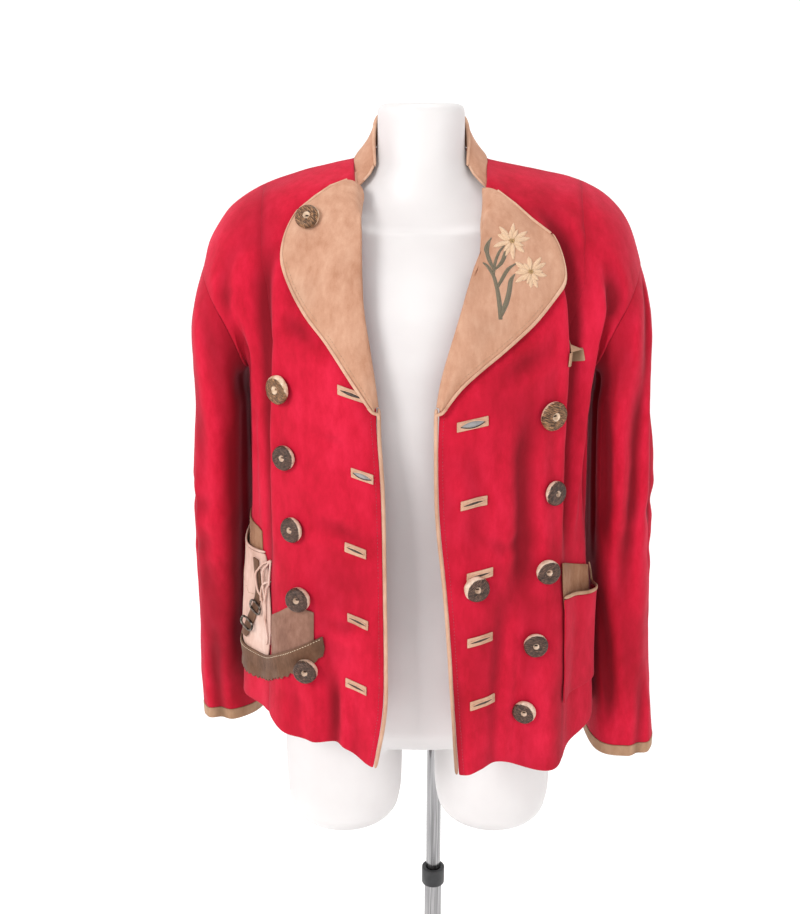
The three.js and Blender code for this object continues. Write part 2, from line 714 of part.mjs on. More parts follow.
// The armhole from the armpit forward over the tip and down behind, as 0 to 360 degrees.
function armhole(side, turn) {
  const half = turn <= 180 ? side.patches[1].to : side.patches[2].from;
  return half(mix(ARMPIT, 1, turn <= 180 ? turn / 180 : (360 - turn) / 180));
}

function sleevePoint(side, turn, row) {
  const low = (1 + Math.cos(turn * DEG)) / 2;
  const start = armhole(side, turn);
  const lean = V(side.sign * mix(0.4, 0.75, low), -0.35 * Math.sin(turn * DEG), -mix(0.9, 0.55, low));
  lean.normalize();
  const away = V(side.sign, 0, 0).lerp(lean, 1 - low).normalize();
  start.addScaledVector(away, mix(ARM_GAP.rest, ARM_GAP.armpit, ease(low * 1.6)));
  const end = sleeveRing(side, turn, CHEST_Z);
  if (row <= 1) {
    const [reach, rise] = [mix(62, 16, low), mix(66, 14, low)];
    const one = start.clone().addScaledVector(lean, reach);
    const two = end.clone().setZ(CHEST_Z + rise);
    const point = new THREE.CubicBezierCurve3(start, one, two, end).getPoint(row);
    return bulge(side, point, turn, point.z, ease(row * 2.5));
  }
  const cuff = sleeveRing(side, turn, side.cuffZ);
  const floor = side.cuffZ + side.tilt * (cuff.y - read(side.sleeve, 'z', side.cuffZ, 'middle'));
  const z = mix(CHEST_Z, floor + CUFF_BAND, row - 1);
  return bulge(side, sleeveRing(side, turn, z), turn, z, 1);
}

function bulge(side, point, turn, z, share) {
  const out = V(-side.sign * Math.cos(turn * DEG), -Math.sin(turn * DEG), 0);
  const calm = 1 - 0.75 * (1 + Math.cos(turn * DEG)) / 2;
  return point.addScaledVector(out, share * calm * sleeveFold(side, turn, z));
}

function tubeGrids(pointAt, rows, wall) {
  const turns = span(SLEEVE_COLUMNS).slice(0, -1).map((t) => t * 360);
  const outer = rows.map((row) => turns.map((turn) => pointAt(turn, row)));
  const normal = (i, j) => {
    const count = turns.length;
    const round = outer[i][(j + 1) % count].clone().sub(outer[i][(j + count - 1) % count]);
    const [a, b] = [outer[Math.max(0, i - 1)][j], outer[Math.min(rows.length - 1, i + 1)][j]];
    return round.cross(b.clone().sub(a)).normalize();
  };
  const inner = outer.map((row, i) =>
    row.map((p, j) => {
      const n = normal(i, j);
      const middle = row.reduce((sum, q) => sum.add(q), V(0, 0, 0)).divideScalar(row.length);
      const sign = n.dot(middle.sub(p)) > 0 ? 1 : -1;
      return p.clone().addScaledVector(n, sign * wall);
    }),
  );
  return [outer, inner];
}

function tube(outer, inner) {
  return loft([...outer, ...[...inner].reverse()], 'ring');
}

const CUFF_WALL = 3.4;
for (const side of Object.values(SIDES)) {
  const high = span(SLEEVE_HIGH);
  const low = span(SLEEVE_LOW).slice(1).map((t) => 1 + t);
  const rows = [...high, ...low];
  const grids = tubeGrids((turn, row) => sleevePoint(side, turn, row), rows, WALL);
  piece(`sleeve_${side.name}`, tube(...grids), 'red_suede');
  const last = (turn) => sleevePoint(side, turn, 2);
  const band = (turn, drop) => {
    const p = last(turn);
    const out = V(-side.sign * Math.cos(turn * DEG), -Math.sin(turn * DEG), 0);
    return p.addScaledVector(out, 0.8).setZ(p.z - drop);
  };
  const drops = [SEAM, 2.5, CUFF_BAND - 2, CUFF_BAND];
  piece(`cuff_${side.name}`, tube(...tubeGrids(band, drops, CUFF_WALL)), 'tan_binding');
}

// ---------- collar ----------
const COLLAR_TOP = [
  { x: 56, y: -20, z: 1327 },
  { x: 58.5, y: 8, z: 1363 },
  { x: 53, y: 40, z: 1382 },
  { x: 30, y: 64, z: 1391 },
  { x: 0, y: 70, z: 1394 },
];
const COLLAR_WALL = 2.6;
const COLLAR_SET = { inward: 0.8, up: 2.4 };
const COLLAR_COLUMNS = 26;
const COLLAR_ROWS = 3;

function joined(rightRows, leftRows) {
  const right = rightRows.map((r) => V(-r.x, r.y, r.z));
  const left = leftRows.slice(0, -1).map((r) => V(r.x, r.y, r.z));
  return new THREE.CatmullRomCurve3([...right, ...left.reverse()], false, 'centripetal');
}
const collarFoot = (side) => [side.roll[side.roll.length - 1], ...NECKLINE, ...BACK_NECK];
const collarBase = joined(collarFoot(SIDES.right), collarFoot(SIDES.left));
const collarTop = joined(COLLAR_TOP, COLLAR_TOP);

function collarPoint(f, h) {
  const [low, high] = [collarBase.getPointAt(f), collarTop.getPointAt(f)];
  const p = blend(low, high, h);
  const out = V(p.x, p.y - 10, 0).normalize();
  p.addScaledVector(out, -3 * Math.sin(h * Math.PI) - COLLAR_SET.inward);
  return p.setZ(p.z + COLLAR_SET.up * (1 - h));
}

function collarFrame(f, h) {
  const [a, b] = [Math.max(f - 0.01, 0), Math.min(f + 0.01, 1)];
  const along = collarPoint(b, h).sub(collarPoint(a, h)).normalize();
  const up = collarPoint(f, Math.min(h + 0.05, 1)).sub(collarPoint(f, Math.max(h - 0.05, 0)));
  const normal = up.normalize().clone().cross(along).normalize();
  if (normal.dot(V(collarPoint(f, h).x, collarPoint(f, h).y - 10, 0)) < 0) normal.negate();
  return { point: collarPoint(f, h), along, up, normal };
}

const BIND = { wide: 4.6, thick: 3.6 };
const collarFrames = span(COLLAR_ROWS).map((h) =>
  span(COLLAR_COLUMNS).map((f) => collarFrame(mix(0.004, 0.996, f), h)),
);
const collarOuter = collarFrames.map((row) => row.map((f) => f.point.clone()));
const collarInner = collarFrames.map((row) =>
  row.map((f) => f.point.clone().addScaledVector(f.normal, -COLLAR_WALL)),
);
const panelSolids = [...SIDES.right.solid, ...SIDES.left.solid];
const collarWays = collarFrames.map((row) =>
  row.map((f) => f.up.clone().normalize().sub(f.normal).normalize()),
);
const collarShift = cleared(collarOuter, collarWays, panelSolids, LAID);
[collarOuter, collarInner].forEach((points) =>
  points.forEach((row, i) =>
    row.forEach((p, j) => p.addScaledVector(collarWays[i][j], collarShift[i][j])),
  ),
);
lining.push(...facets(collarInner, (p) => V(p.x, p.y - 10, 0)));
piece('collar', sheet(collarOuter, collarInner), 'tan_suede');

// A binding strip beside an edge: point on the edge, direction out of the cloth, normal.
function strip(stations, wall, size = BIND) {
  const loops = stations.map(({ point, out, normal }) => {
    const middle = point.clone().addScaledVector(normal, -wall / 2);
    const at = (o, n) => middle.clone().addScaledVector(out, o).addScaledVector(normal, n);
    const [start, end, half] = [SEAM, SEAM + size.wide, size.thick / 2];
    const soft = size.wide * 0.3;
    return [
      at(start, -half),
      at(end - soft, -half),
      at(end, 0),
      at(end - soft, half),
      at(start, half),
    ];
  });
  return loft(loops);
}

const collarEdge = span(COLLAR_COLUMNS).map((f) => {
  const frame = collarFrame(mix(0.004, 0.996, f), 1);
  return { point: frame.point, out: frame.up, normal: frame.normal };
});
piece('collar_piping', strip(collarEdge, COLLAR_WALL), 'tan_binding');

// ---------- front edges ----------
for (const side of Object.values(SIDES)) {
  const top = BREAK;
  const stations = span(20).map((t) => {
    const f = frameAt(side, 0, mix(0, top, t));
    const up = f.up.clone().normalize();
    const out = f.along.clone().addScaledVector(up, -f.along.dot(up)).normalize().negate();
    return { point: f.point, out, normal: f.normal };
  });
  piece(`edge_${side.name}`, strip(stations, WALL), 'tan_binding');
}

// ---------- pieces that lie on the panels ----------
// The place on the lower body at a turn round it and a height.
function spot(side, turn, z) {
  const at = (t, h) => {
    const out = V(side.sign * Math.sin(t * DEG), -Math.cos(t * DEG), 0);
    return ring(side, t, h).addScaledVector(out, foldAt(side, t, h));
  };
  const along = at(turn + 0.6, z).sub(at(turn - 0.6, z)).normalize();
  const up = at(turn, z + 3).sub(at(turn, z - 3)).normalize();
  const normal = along.clone().cross(up).normalize().multiplyScalar(side.sign);
  return { point: at(turn, z), along, up, normal };
}

// The same place brought onto the flat faces of the piece that carries it.
function settled(faces, frame) {
  return { ...frame, point: nearest(faces, frame.point).at };
}

// A patch over a grid of frames, moved out by its lift till it clears what is under it.
function patchOver(frames, lift, thick, faces, gap = LAID) {
  const [rows, columns] = [frames.length - 1, frames[0].length - 1];
  const move = (f, d) => f.point.clone().addScaledVector(f.normal, d);
  const low = frames.map((row, i) => row.map((f, j) => move(f, lift(j / columns, i / rows))));
  const shift = cleared(low, frames.map((row) => row.map((f) => f.normal)), faces, gap);
  const above = (i, j, d) => low[i][j].clone().addScaledVector(frames[i][j].normal, shift[i][j] + d);
  const inner = frames.map((row, i) => row.map((f, j) => above(i, j, 0)));
  const outer = frames.map((row, i) =>
    row.map((f, j) => above(i, j, thick(j / columns, i / rows))),
  );
  return { outer, inner, geometry: sheet(outer, inner) };
}

const lapelWall = 1.8;
const lapelLift = { roll: 2.6, middle: 4.8, edge: 1.8 };
const LAPEL_COLUMNS = 6;
const lapelSteps = V_STEPS.filter((v) => v > BREAK + 0.02 && v < 1.99);
const LAPEL_STEPS = [BREAK + 0.006, ...lapelSteps, 1.93];
for (const side of Object.values(SIDES)) {
  const outline = new THREE.CatmullRomCurve3(
    side.lapel.map((r) => V(side.sign * r.x, 0, r.z)),
    false,
    'centripetal',
  );
  const frames = LAPEL_STEPS.map((near, i) => {
    const edge = outline.getPointAt(i / (LAPEL_STEPS.length - 1));
    const far = place(side, Math.abs(edge.x), edge.z);
    return span(LAPEL_COLUMNS).map((s) => frameAt(side, far.u * s, mix(near, far.v, s)));
  });
  const rise = (s) =>
    s < 0.5
      ? mix(lapelLift.roll, lapelLift.middle, ease(s * 2))
      : mix(lapelLift.middle, lapelLift.edge, ease(s * 2 - 1));
  const at = (f, d) => f.point.clone().addScaledVector(f.normal, d);
  const outer = frames.map((row) =>
    row.map((f, j) => at(f, LAID + rise(j / LAPEL_COLUMNS) + lapelWall)),
  );
  const inner = frames.map((row) => row.map((f, j) => at(f, LAID + rise(j / LAPEL_COLUMNS))));
  const ways = frames.map((row) => row.map((f) => f.normal));
  outer.forEach((row, i) => {
    const f = frames[i][0];
    const up = f.up.clone().normalize();
    const out = f.along.clone().addScaledVector(up, -f.along.dot(up)).normalize().negate();
    const over = (o, d) => at(f, d).addScaledVector(out, o);
    row.unshift(over(2.6, -WALL), over(3.6, 1.8));
    inner[i].unshift(over(1, -WALL), over(1.8, 0.9));
    ways[i] = [out, out.clone().add(f.normal).normalize(), ...ways[i]];
  });
  const shift = cleared(inner, ways, side.solid, LAID);
  [outer, inner].forEach((points) =>
    points.forEach((row, i) => row.forEach((p, j) => p.addScaledVector(ways[i][j], shift[i][j]))),
  );
  side.lapelFaces = facets(outer.map((row) => row.slice(2)), bodyOut);
  const lapel = sheet(outer, inner);
  side.lapelSolid = facetsOf(lapel);
  piece(`lapel_${side.name}`, lapel, 'tan_suede');
  const stations = frames.map((row, i) => {
    const f = row[LAPEL_COLUMNS];
    const p = outer[i][outer[i].length - 1].clone();
    const q = outer[i][outer[i].length - 2];
    const out = p.clone().sub(q);
    out.addScaledVector(f.normal, -out.dot(f.normal)).normalize();
    return { point: p, out, normal: f.normal };
  });
  const slim = { wide: 4.2, thick: 2.8 };
  piece(`lapel_piping_${side.name}`, strip(stations, lapelWall, slim), 'tan_binding');
}

// ---------- buttonholes ----------
// middle (x, z); the outer end stands higher
const HOLES_RIGHT = [
  { x: 80, z: 1085 },
  { x: 68, z: 990 },
  { x: 77, z: 900 },
  { x: 75, z: 812 },
  { x: 77, z: 728 },
];
const HOLES_LEFT = [
  { x: 57, z: 1051 },
  { x: 60, z: 958 },
  { x: 68, z: 871 },
  { x: 70, z: 789 },
  { x: 74, z: 708 },
];
Object.assign(SIDES.right, { holes: HOLES_RIGHT, holeLean: 0.32, holeLong: 25 });
Object.assign(SIDES.left, { holes: HOLES_LEFT, holeLean: 0.2, holeLong: 31 });
const HOLE_TALL = 11.5;
const HOLE_PROFILE = [0.8, 1.8, 0.6, 1.8, 0.8]; // lips on both sides of the slit
for (const side of Object.values(SIDES)) {
  side.holes.forEach((hole, k) => {
    const long = side.holeLong + (k === 0 ? 5 : 0);
    const frames = span(HOLE_PROFILE.length - 1).map((t) =>
      span(3).map((s) => {
        const [dx, dz] = [(s - 0.5) * long, (t - 0.5) * HOLE_TALL];
        const f = place(side, hole.x + dx, hole.z + dz + dx * side.holeLean);
        return settled(side.cloth, f);
      }),
    );
    const rows = HOLE_PROFILE.length - 1;
    const thick = (s, t) => HOLE_PROFILE[Math.round(t * rows)];
    const made = patchOver(frames, () => LAID, thick, side.cloth);
    piece(`buttonhole_${side.name}_${k + 1}`, made.geometry, 'tan_binding');
  });
}

// ---------- buttons ----------
// place (x, z), size against the usual one, height of the disc's underside, tilt
const BUTTONS_RIGHT = [
  { name: '1', x: 162, z: 1083, size: 1.1, stand: 3.4, tilt: 4 },
  { name: '2', x: 157, z: 1003, size: 0.96, stand: 3.4, tilt: -4 },
  { name: '3', x: 150, z: 917, size: 0.98, stand: 3.4, tilt: 5 },
  { name: '4', x: 144, z: 834, size: 0.98, stand: 5.6, tilt: -3 },
  { name: '5', x: 136, z: 745, size: 0.96, stand: 5.6, tilt: 3 },
];
const BUTTONS_LEFT = [
  { name: '1', x: 150, z: 1054, size: 1.12, stand: 3.4, tilt: -3 },
  { name: '2', x: 155, z: 960, size: 0.96, stand: 3.4, tilt: 3 },
  { name: '3', x: 149, z: 866, size: 0.96, stand: 3.4, tilt: -4 },
  { name: '4', x: 139, z: 774, size: 0.96, stand: 3.4, tilt: 4 },
  { name: '5', x: 127, z: 687, size: 0.94, stand: 3.4, tilt: -5 },
  { name: 'inner', x: 63, z: 856, size: 1, stand: 4.2, tilt: 5 },
];
const BUTTON_SIDES = 12;
const SHANK_R = 4.2;
// disc profile above its underside: share of the radius, height
const DISC = [
  { r: 0.86, h: 0 },
  { r: 1, h: 2.2 },
  { r: 0.98, h: 4.6 },
  { r: 0.84, h: BUTTON_THICK },
  { r: 0.28, h: BUTTON_THICK - 0.9 },
];
function button(name, frame, { size, stand, tilt }) {
  const radius = (BUTTON_D / 2) * size;
  const east = frame.along.clone().addScaledVector(frame.normal, -frame.along.dot(frame.normal));
  east.normalize();
  const axis = frame.normal.clone().addScaledVector(east, Math.tan(tilt * DEG)).normalize();
  const one = east.clone().addScaledVector(axis, -east.dot(axis)).normalize();
  const two = axis.clone().cross(one);
  const foot = SEAM + 0.25 + SHANK_R * Math.abs(Math.sin(tilt * DEG));
  const rows = [{ r: SHANK_R, h: foot }, { r: SHANK_R, h: stand }];
  DISC.forEach((row) => rows.push({ r: row.r * radius, h: stand + row.h }));
  const loops = rows.map(({ r, h }) =>
    span(BUTTON_SIDES).slice(0, -1).map((t) => {
      const [c, s] = [Math.cos(t * 2 * Math.PI), Math.sin(t * 2 * Math.PI)];
      const p = frame.point.clone().addScaledVector(axis, h);
      return p.addScaledVector(one, r * c).addScaledVector(two, r * s);
    }),
  );
  piece(name, loft(loops), 'horn');
}
BUTTONS_RIGHT.forEach((b) => {
  button(`button_right_${b.name}`, settled(SIDES.right.cloth, place(SIDES.right, b.x, b.z)), b);
});
BUTTONS_LEFT.forEach((b) => {
  button(`button_left_${b.name}`, settled(SIDES.left.cloth, place(SIDES.left, b.x, b.z)), b);
});
const lapelSpot = place(SIDES.right, 126, 1270);
lapelSpot.point.addScaledVector(lapelSpot.normal, 6);
const LAPEL_BUTTON = { size: 0.92, stand: 3, tilt: -3 };
button('button_lapel', settled(SIDES.right.lapelFaces, lapelSpot), LAPEL_BUTTON);

// ---------- breast welt ----------
const WELT = { x: 176, z: 1118, long: 24, tall: 16 };
const weltFrames = span(2).map((t) =>
  span(3).map((s) => {
    const [dx, dz] = [(s - 0.5) * WELT.long, (t - 0.5) * WELT.tall];
    return settled(SIDES.left.cloth, place(SIDES.left, WELT.x + dx, WELT.z + dz + dx * 0.1));
  }),
);
const welt = patchOver(weltFrames, (s, t) => LAID + 1.2 * t, () => 1.6, SIDES.left.cloth);
piece('breast_welt', welt.geometry, 'tan_suede');

// ---------- wearer's left pocket ----------
const grid = (columns, rows, at) => span(rows).map((t) => span(columns).map((s) => at(s, t)));
const onLeft = (turn, z) => settled(SIDES.left.cloth, spot(SIDES.left, turn, z));
const POCKET_LEFT = { from: 54, to: 83, mouth: 825, fall: 20, floor: 688 };
const mouthLeft = (s) => POCKET_LEFT.mouth - POCKET_LEFT.fall * s;
const leftFrames = grid(6, 5, (s, t) => {
  const turn = mix(POCKET_LEFT.from, POCKET_LEFT.to - 4 * (1 - t), s);
  return onLeft(turn, mix(POCKET_LEFT.floor, mouthLeft(s), t));
});
const gape = (s) => 12 * Math.sin(Math.PI * clamp(s ** 1.6, 0, 1)) + 2 * s;
const leftLift = (s, t) => 1 + gape(s) * t ** 1.8 + 3 * Math.sin(Math.PI * s) * Math.sin(Math.PI * t);
const BACKING_TOP = 46;
const backingFrames = grid(4, 3, (s, t) => {
  const turn = mix(POCKET_LEFT.from + 0.5, POCKET_LEFT.to - 7, s);
  return onLeft(turn, mouthLeft(s) - 14 + (BACKING_TOP + 14 - 8 * s) * t);
});
const hemmed = (s, t) => (t > 0.99 ? 1.9 : 0.5 + 0.3 * t);
const backing = patchOver(backingFrames, () => LAID, hemmed, SIDES.left.cloth);
piece('pocket_left_backing', backing.geometry, 'tan_suede');
const underLeft = [...SIDES.left.cloth, ...facets(backing.outer, bodyOut)];
const leftPocket = patchOver(leftFrames, leftLift, () => 1.8, underLeft, 1.3);
piece('pocket_left', leftPocket.geometry, 'red_suede');
// binding along the mouth and up its outer corner
const mouthRow = leftPocket.outer[leftPocket.outer.length - 1];
const mouthInner = leftPocket.inner[leftPocket.inner.length - 1];
const mouthStations = mouthRow.map((p, j) => {
  const f = leftFrames[leftFrames.length - 1][j];
  const middle = p.clone().lerp(mouthInner[j], 0.5);
  return { point: middle.addScaledVector(f.normal, 1.7), out: f.up.clone(), normal: f.normal };
});
const cornerTops = [
  { turn: 82, above: 20, lift: 5.5 },
  { turn: 77.5, above: 38, lift: 4.2 },
];
cornerTops.forEach(({ turn, above, lift }) => {
  const f = onLeft(turn, mouthLeft(1) + above);
  const point = f.point.clone().addScaledVector(f.normal, lift);
  mouthStations.push({ point, out: f.along.clone(), normal: f.normal });
});
piece(
  'pocket_left_binding',
  strip(mouthStations, 1.8, { wide: 5.5, thick: 2.6 }),
  'tan_binding',
);

// ---------- wearer's right pocket ----------
const onRight = (turn, z) => settled(SIDES.right.cloth, spot(SIDES.right, turn, z));
// outline of the pocket: height, turn of the front edge, turn of the side edge
const POCKET_RIGHT = [
  { z: 742, front: 62, side: 91 },
  { z: 790, front: 59, side: 92 },
  { z: 835, front: 62, side: 92 },
  { z: 876, front: 68, side: 91 },
];
const pocketTurn = (s, z) =>
  mix(read(POCKET_RIGHT, 'z', z, 'front'), read(POCKET_RIGHT, 'z', z, 'side'), s);
const rightFrames = grid(5, 6, (s, t) => {
  const z = mix(742, 868 + 10 * s - 8 * Math.sin(Math.PI * s), t);
  return onRight(pocketTurn(s, z), z);
});
const rightLift = (s, t) => 1 + Math.sin(Math.PI * s) * (3.5 * Math.sin(Math.PI * t) + 5 * t ** 3);
const rightBack = grid(4, 2, (s, t) => onRight(mix(69, 89, s), mix(858, 896 + 6 * s, t)));
const backThick = (s, t) => 0.5 + 1.1 * t;
const rightBacking = patchOver(rightBack, () => LAID, backThick, SIDES.right.cloth);
piece('pocket_right_backing', rightBacking.geometry, 'pocket_suede');
const underRight = [...SIDES.right.cloth, ...facets(rightBacking.outer, bodyOut)];
const rightPocket = patchOver(rightFrames, rightLift, () => 1.8, underRight, 1);
piece('pocket_right', rightPocket.geometry, 'tan_suede');
const rightMouth = rightPocket.outer[rightPocket.outer.length - 1].map((p, j) => {
  const f = rightFrames[rightFrames.length - 1][j];
  return { point: p.clone(), out: f.up.clone(), normal: f.normal };
});
piece('pocket_right_piping', strip(rightMouth, 1.8, { wide: 4, thick: 2.6 }), 'tan_binding');

// the piece that falls forward from the pocket, and the pinked band along the bottom
const FLAP = [
  { s: 0, turn: 58.5, top: 800, low: 748 },
  { s: 0.35, turn: 53, top: 812, low: 759 },
  { s: 0.65, turn: 48, top: 824, low: 772 },
  { s: 1, turn: 41.5, top: 818, low: 788 },
];
const flapFrames = grid(5, 3, (s, t) => {
  const [top, low] = [read(FLAP, 's', s, 'top'), read(FLAP, 's', s, 'low')];
  return onRight(read(FLAP, 's', s, 'turn'), mix(low, top, t));
});
const flap = patchOver(flapFrames, () => LAID, () => 1.5, SIDES.right.cloth);
piece('pocket_right_flap', flap.geometry, 'pocket_suede');
const BAND = [
  { s: 0, turn: 90, top: 739, low: 699 },
  { s: 0.25, turn: 78, top: 731, low: 700 },
  { s: 0.45, turn: 67.5, top: 731, low: 704 },
  { s: 0.7, turn: 53, top: 753, low: 727 },
  { s: 1, turn: 38.5, top: 784, low: 763 },
];
const TEETH = 12;
const bandFrames = grid(TEETH, 2, (s, t) => {
  const tooth = t === 0 ? 2.5 * (-1) ** Math.round(s * TEETH) : 0;
  const [top, low] = [read(BAND, 's', s, 'top'), read(BAND, 's', s, 'low') + tooth];
  return onRight(read(BAND, 's', s, 'turn'), mix(low, top, t));
});
const band = patchOver(bandFrames, () => LAID, () => 2, SIDES.right.cloth);
piece('pocket_right_band', band.geometry, 'brown_suede');

// strap with its two buckles, on the pocket
const STRAP = [
  { s: 0, turn: 76, z: 748 },
  { s: 0.3, turn: 71.5, z: 782 },
  { s: 0.6, turn: 68.5, z: 815 },
  { s: 1, turn: 71, z: 858 },
];
const STRAP_TURN = 3.6; // its width, in degrees round the body
const pocketFaces = facets(rightPocket.outer, bodyOut);
const onPocket = (turn, z, rise = 6) => {
  const f = spot(SIDES.right, turn, z);
  f.point.addScaledVector(f.normal, rise);
  return settled(pocketFaces, f);
};
const strapFrames = grid(2, 8, (s, t) => {
  const turn = read(STRAP, 's', t, 'turn') + (s - 0.5) * STRAP_TURN;
  return onPocket(turn, read(STRAP, 's', t, 'z'));
});
const strapThick = (s) => 1.4 + 1.2 * Math.sin(Math.PI * s);
const strap = patchOver(strapFrames, () => LAID, strapThick, pocketFaces, 0.6);
piece('pocket_right_strap', strap.geometry, 'brown_suede');
const strapFaces = facets(strap.outer, bodyOut);
const BUCKLE = { wide: 22, tall: 13, bar: 2.4, lean: 0.35 };
function buckle(name, turn, z) {
  const f = spot(SIDES.right, turn, z);
  f.point.addScaledVector(f.normal, 9);
  const seat = nearest(strapFaces, f.point).at.addScaledVector(f.normal, SEAM + BUCKLE.bar * 0.75);
  const corners = [
    [-0.5, -0.3], [-0.3, -0.5], [0.3, -0.5], [0.5, -0.3],
    [0.5, 0.3], [0.3, 0.5], [-0.3, 0.5], [-0.5, 0.3],
  ];
  const along = f.along.clone().addScaledVector(f.up, BUCKLE.lean).normalize();
  const up = f.normal.clone().cross(along).normalize();
  const loops = corners.map(([a, b]) => {
    const arm = along.clone().multiplyScalar(a * BUCKLE.wide).addScaledVector(up, b * BUCKLE.tall);
    const out = arm.clone().normalize().multiplyScalar(BUCKLE.bar / 2);
    const middle = seat.clone().add(arm);
    const rise = f.normal.clone().multiplyScalar(BUCKLE.bar / 2);
    return [
      middle.clone().sub(out),
      middle.clone().sub(rise),
      middle.clone().add(out),
      middle.clone().add(rise),
    ];
  });
  piece(name, loft(loops, 'ring'), 'buckle_metal');
}
buckle('buckle_upper', 69, 797);
buckle('buckle_lower', 73, 770);

// ---------- dress form ----------
// sections: side reach and height, front and back reach and height, y of the side, squareness
const FORM = [
  { half: 118, side: 588, front: -62, frontZ: 588, back: 76, backZ: 590, mid: 0, square: 2.1 },
  { half: 158, side: 600, front: -84, frontZ: 596, back: 100, backZ: 604, mid: 0, square: 2.1 },
  { half: 176, side: 630, front: -98, frontZ: 622, back: 114, backZ: 636, mid: 0, square: 2.15 },
  { half: 180, side: 690, front: -104, frontZ: 686, back: 118, backZ: 696, mid: 0, square: 2.2 },
  { half: 174, side: 760, front: -106, frontZ: 760, back: 108, backZ: 764, mid: 0, square: 2.2 },
  { half: 159, side: 830, front: -102, frontZ: 830, back: 94, backZ: 832, mid: 0, square: 2.2 },
  { half: 150, side: 890, front: -102, frontZ: 890, back: 87, backZ: 890, mid: 0, square: 2.2 },
  { half: 153, side: 960, front: -110, frontZ: 960, back: 90, backZ: 960, mid: 0, square: 2.25 },
  { half: 163, side: 1040, front: -121, frontZ: 1040, back: 97, backZ: 1040, mid: 0, square: 2.3 },
  { half: 172, side: 1110, front: -124, frontZ: 1106, back: 103, backZ: 1110, mid: 4, square: 2.3 },
  { half: 182, side: 1180, front: -116, frontZ: 1166, back: 107, backZ: 1176, mid: 12, square: 2.3 },
  { half: 189, side: 1232, front: -101, frontZ: 1206, back: 104, backZ: 1226, mid: 18, square: 2.3 },
  { half: 187, side: 1266, front: -88, frontZ: 1236, back: 98, backZ: 1262, mid: 20, square: 2.2 },
  { half: 173, side: 1293, front: -76, frontZ: 1258, back: 90, backZ: 1286, mid: 20, square: 2.1 },
  { half: 152, side: 1312, front: -72, frontZ: 1252, back: 84, backZ: 1296, mid: 20, square: 2.0 },
  { half: 116, side: 1322, front: -64, frontZ: 1264, back: 76, backZ: 1306, mid: 20, square: 2.0 },
  { half: 88, side: 1327, front: -57, frontZ: 1277, back: 69, backZ: 1315, mid: 19, square: 2.0 },
  { half: 63, side: 1332, front: -51, frontZ: 1295, back: 60, backZ: 1326, mid: 15, square: 2.0 },
  { half: 52, side: 1347, front: -46, frontZ: 1320, back: 55, backZ: 1345, mid: 9, square: 2.0 },
  { half: 52, side: 1368, front: -44, frontZ: 1356, back: 54, backZ: 1370, mid: 5, square: 2.0 },
  { half: 52, side: 1394, front: -44, frontZ: 1394, back: 54, backZ: 1394, mid: 5, square: 2.0 },
  { half: 49, side: 1399, front: -41, frontZ: 1399, back: 51, backZ: 1399, mid: 5, square: 2.0 },
];
const FORM_COLUMNS = 28;
const FORM_CLEAR = 0.7; // space under the jacket where it rests on the form
const RIDGE = 1.2; // how fast a section leaves its side height

// Draws a point of the form in under the jacket's inner faces.
function tuck(point) {
  const best = nearest(lining, point);
  const normal = best.face.getNormal(V(0, 0, 0));
  const depth = best.at.clone().sub(point).dot(normal);
  const facing = Math.abs(depth) > 0.75 * best.gap;
  if (depth >= FORM_CLEAR || !facing || best.gap > 40) return point;
  return best.at.clone().addScaledVector(normal, -FORM_CLEAR);
}

function formLoop(row) {
  return span(FORM_COLUMNS).slice(0, -1).map((t) => {
    const [s, c] = [Math.sin(t * 2 * Math.PI), Math.cos(t * 2 * Math.PI)];
    const power = 2 / row.square;
    const [reach, height] = c > 0 ? [row.front, row.frontZ] : [row.back, row.backZ];
    const x = row.half * Math.sign(s) * Math.abs(s) ** power;
    const y = mix(row.mid, reach, Math.abs(c) ** power);
    return V(x, y, mix(row.side, height, Math.abs(c) ** RIDGE));
  });
}

// thigh ends: height, half width and depth about each thigh's middle
const THIGH_X = 101;
const THIGH = [
  { z: 455, half: 30, deep: 30 },
  { z: 456.5, half: 52, deep: 52 },
  { z: 462, half: 66, deep: 65 },
  { z: 474, half: 74, deep: 73 },
  { z: 500, half: 78.5, deep: 78 },
  { z: 560, half: 80, deep: 82 },
  { z: 640, half: 76, deep: 80 },
];
const THIGH_COLUMNS = 24;
function thigh(sign) {
  const loops = THIGH.map((row) =>
    span(THIGH_COLUMNS).slice(0, -1).map((t) => {
      const [s, c] = [Math.sin(t * 2 * Math.PI), Math.cos(t * 2 * Math.PI)];
      return V(sign * THIGH_X + row.half * s, 2 - row.deep * c, row.z);
    }),
  );
  return toManifold(loft(loops));
}

function rod(diameter, low, high, x, y, segments = 24) {
  const loops = [low, high].map((z) =>
    span(segments).slice(0, -1).map((t) => {
      const a = t * 2 * Math.PI;
      return V(x + (diameter / 2) * Math.cos(a), y + (diameter / 2) * Math.sin(a), z);
    }),
  );
  return loft(loops);
}

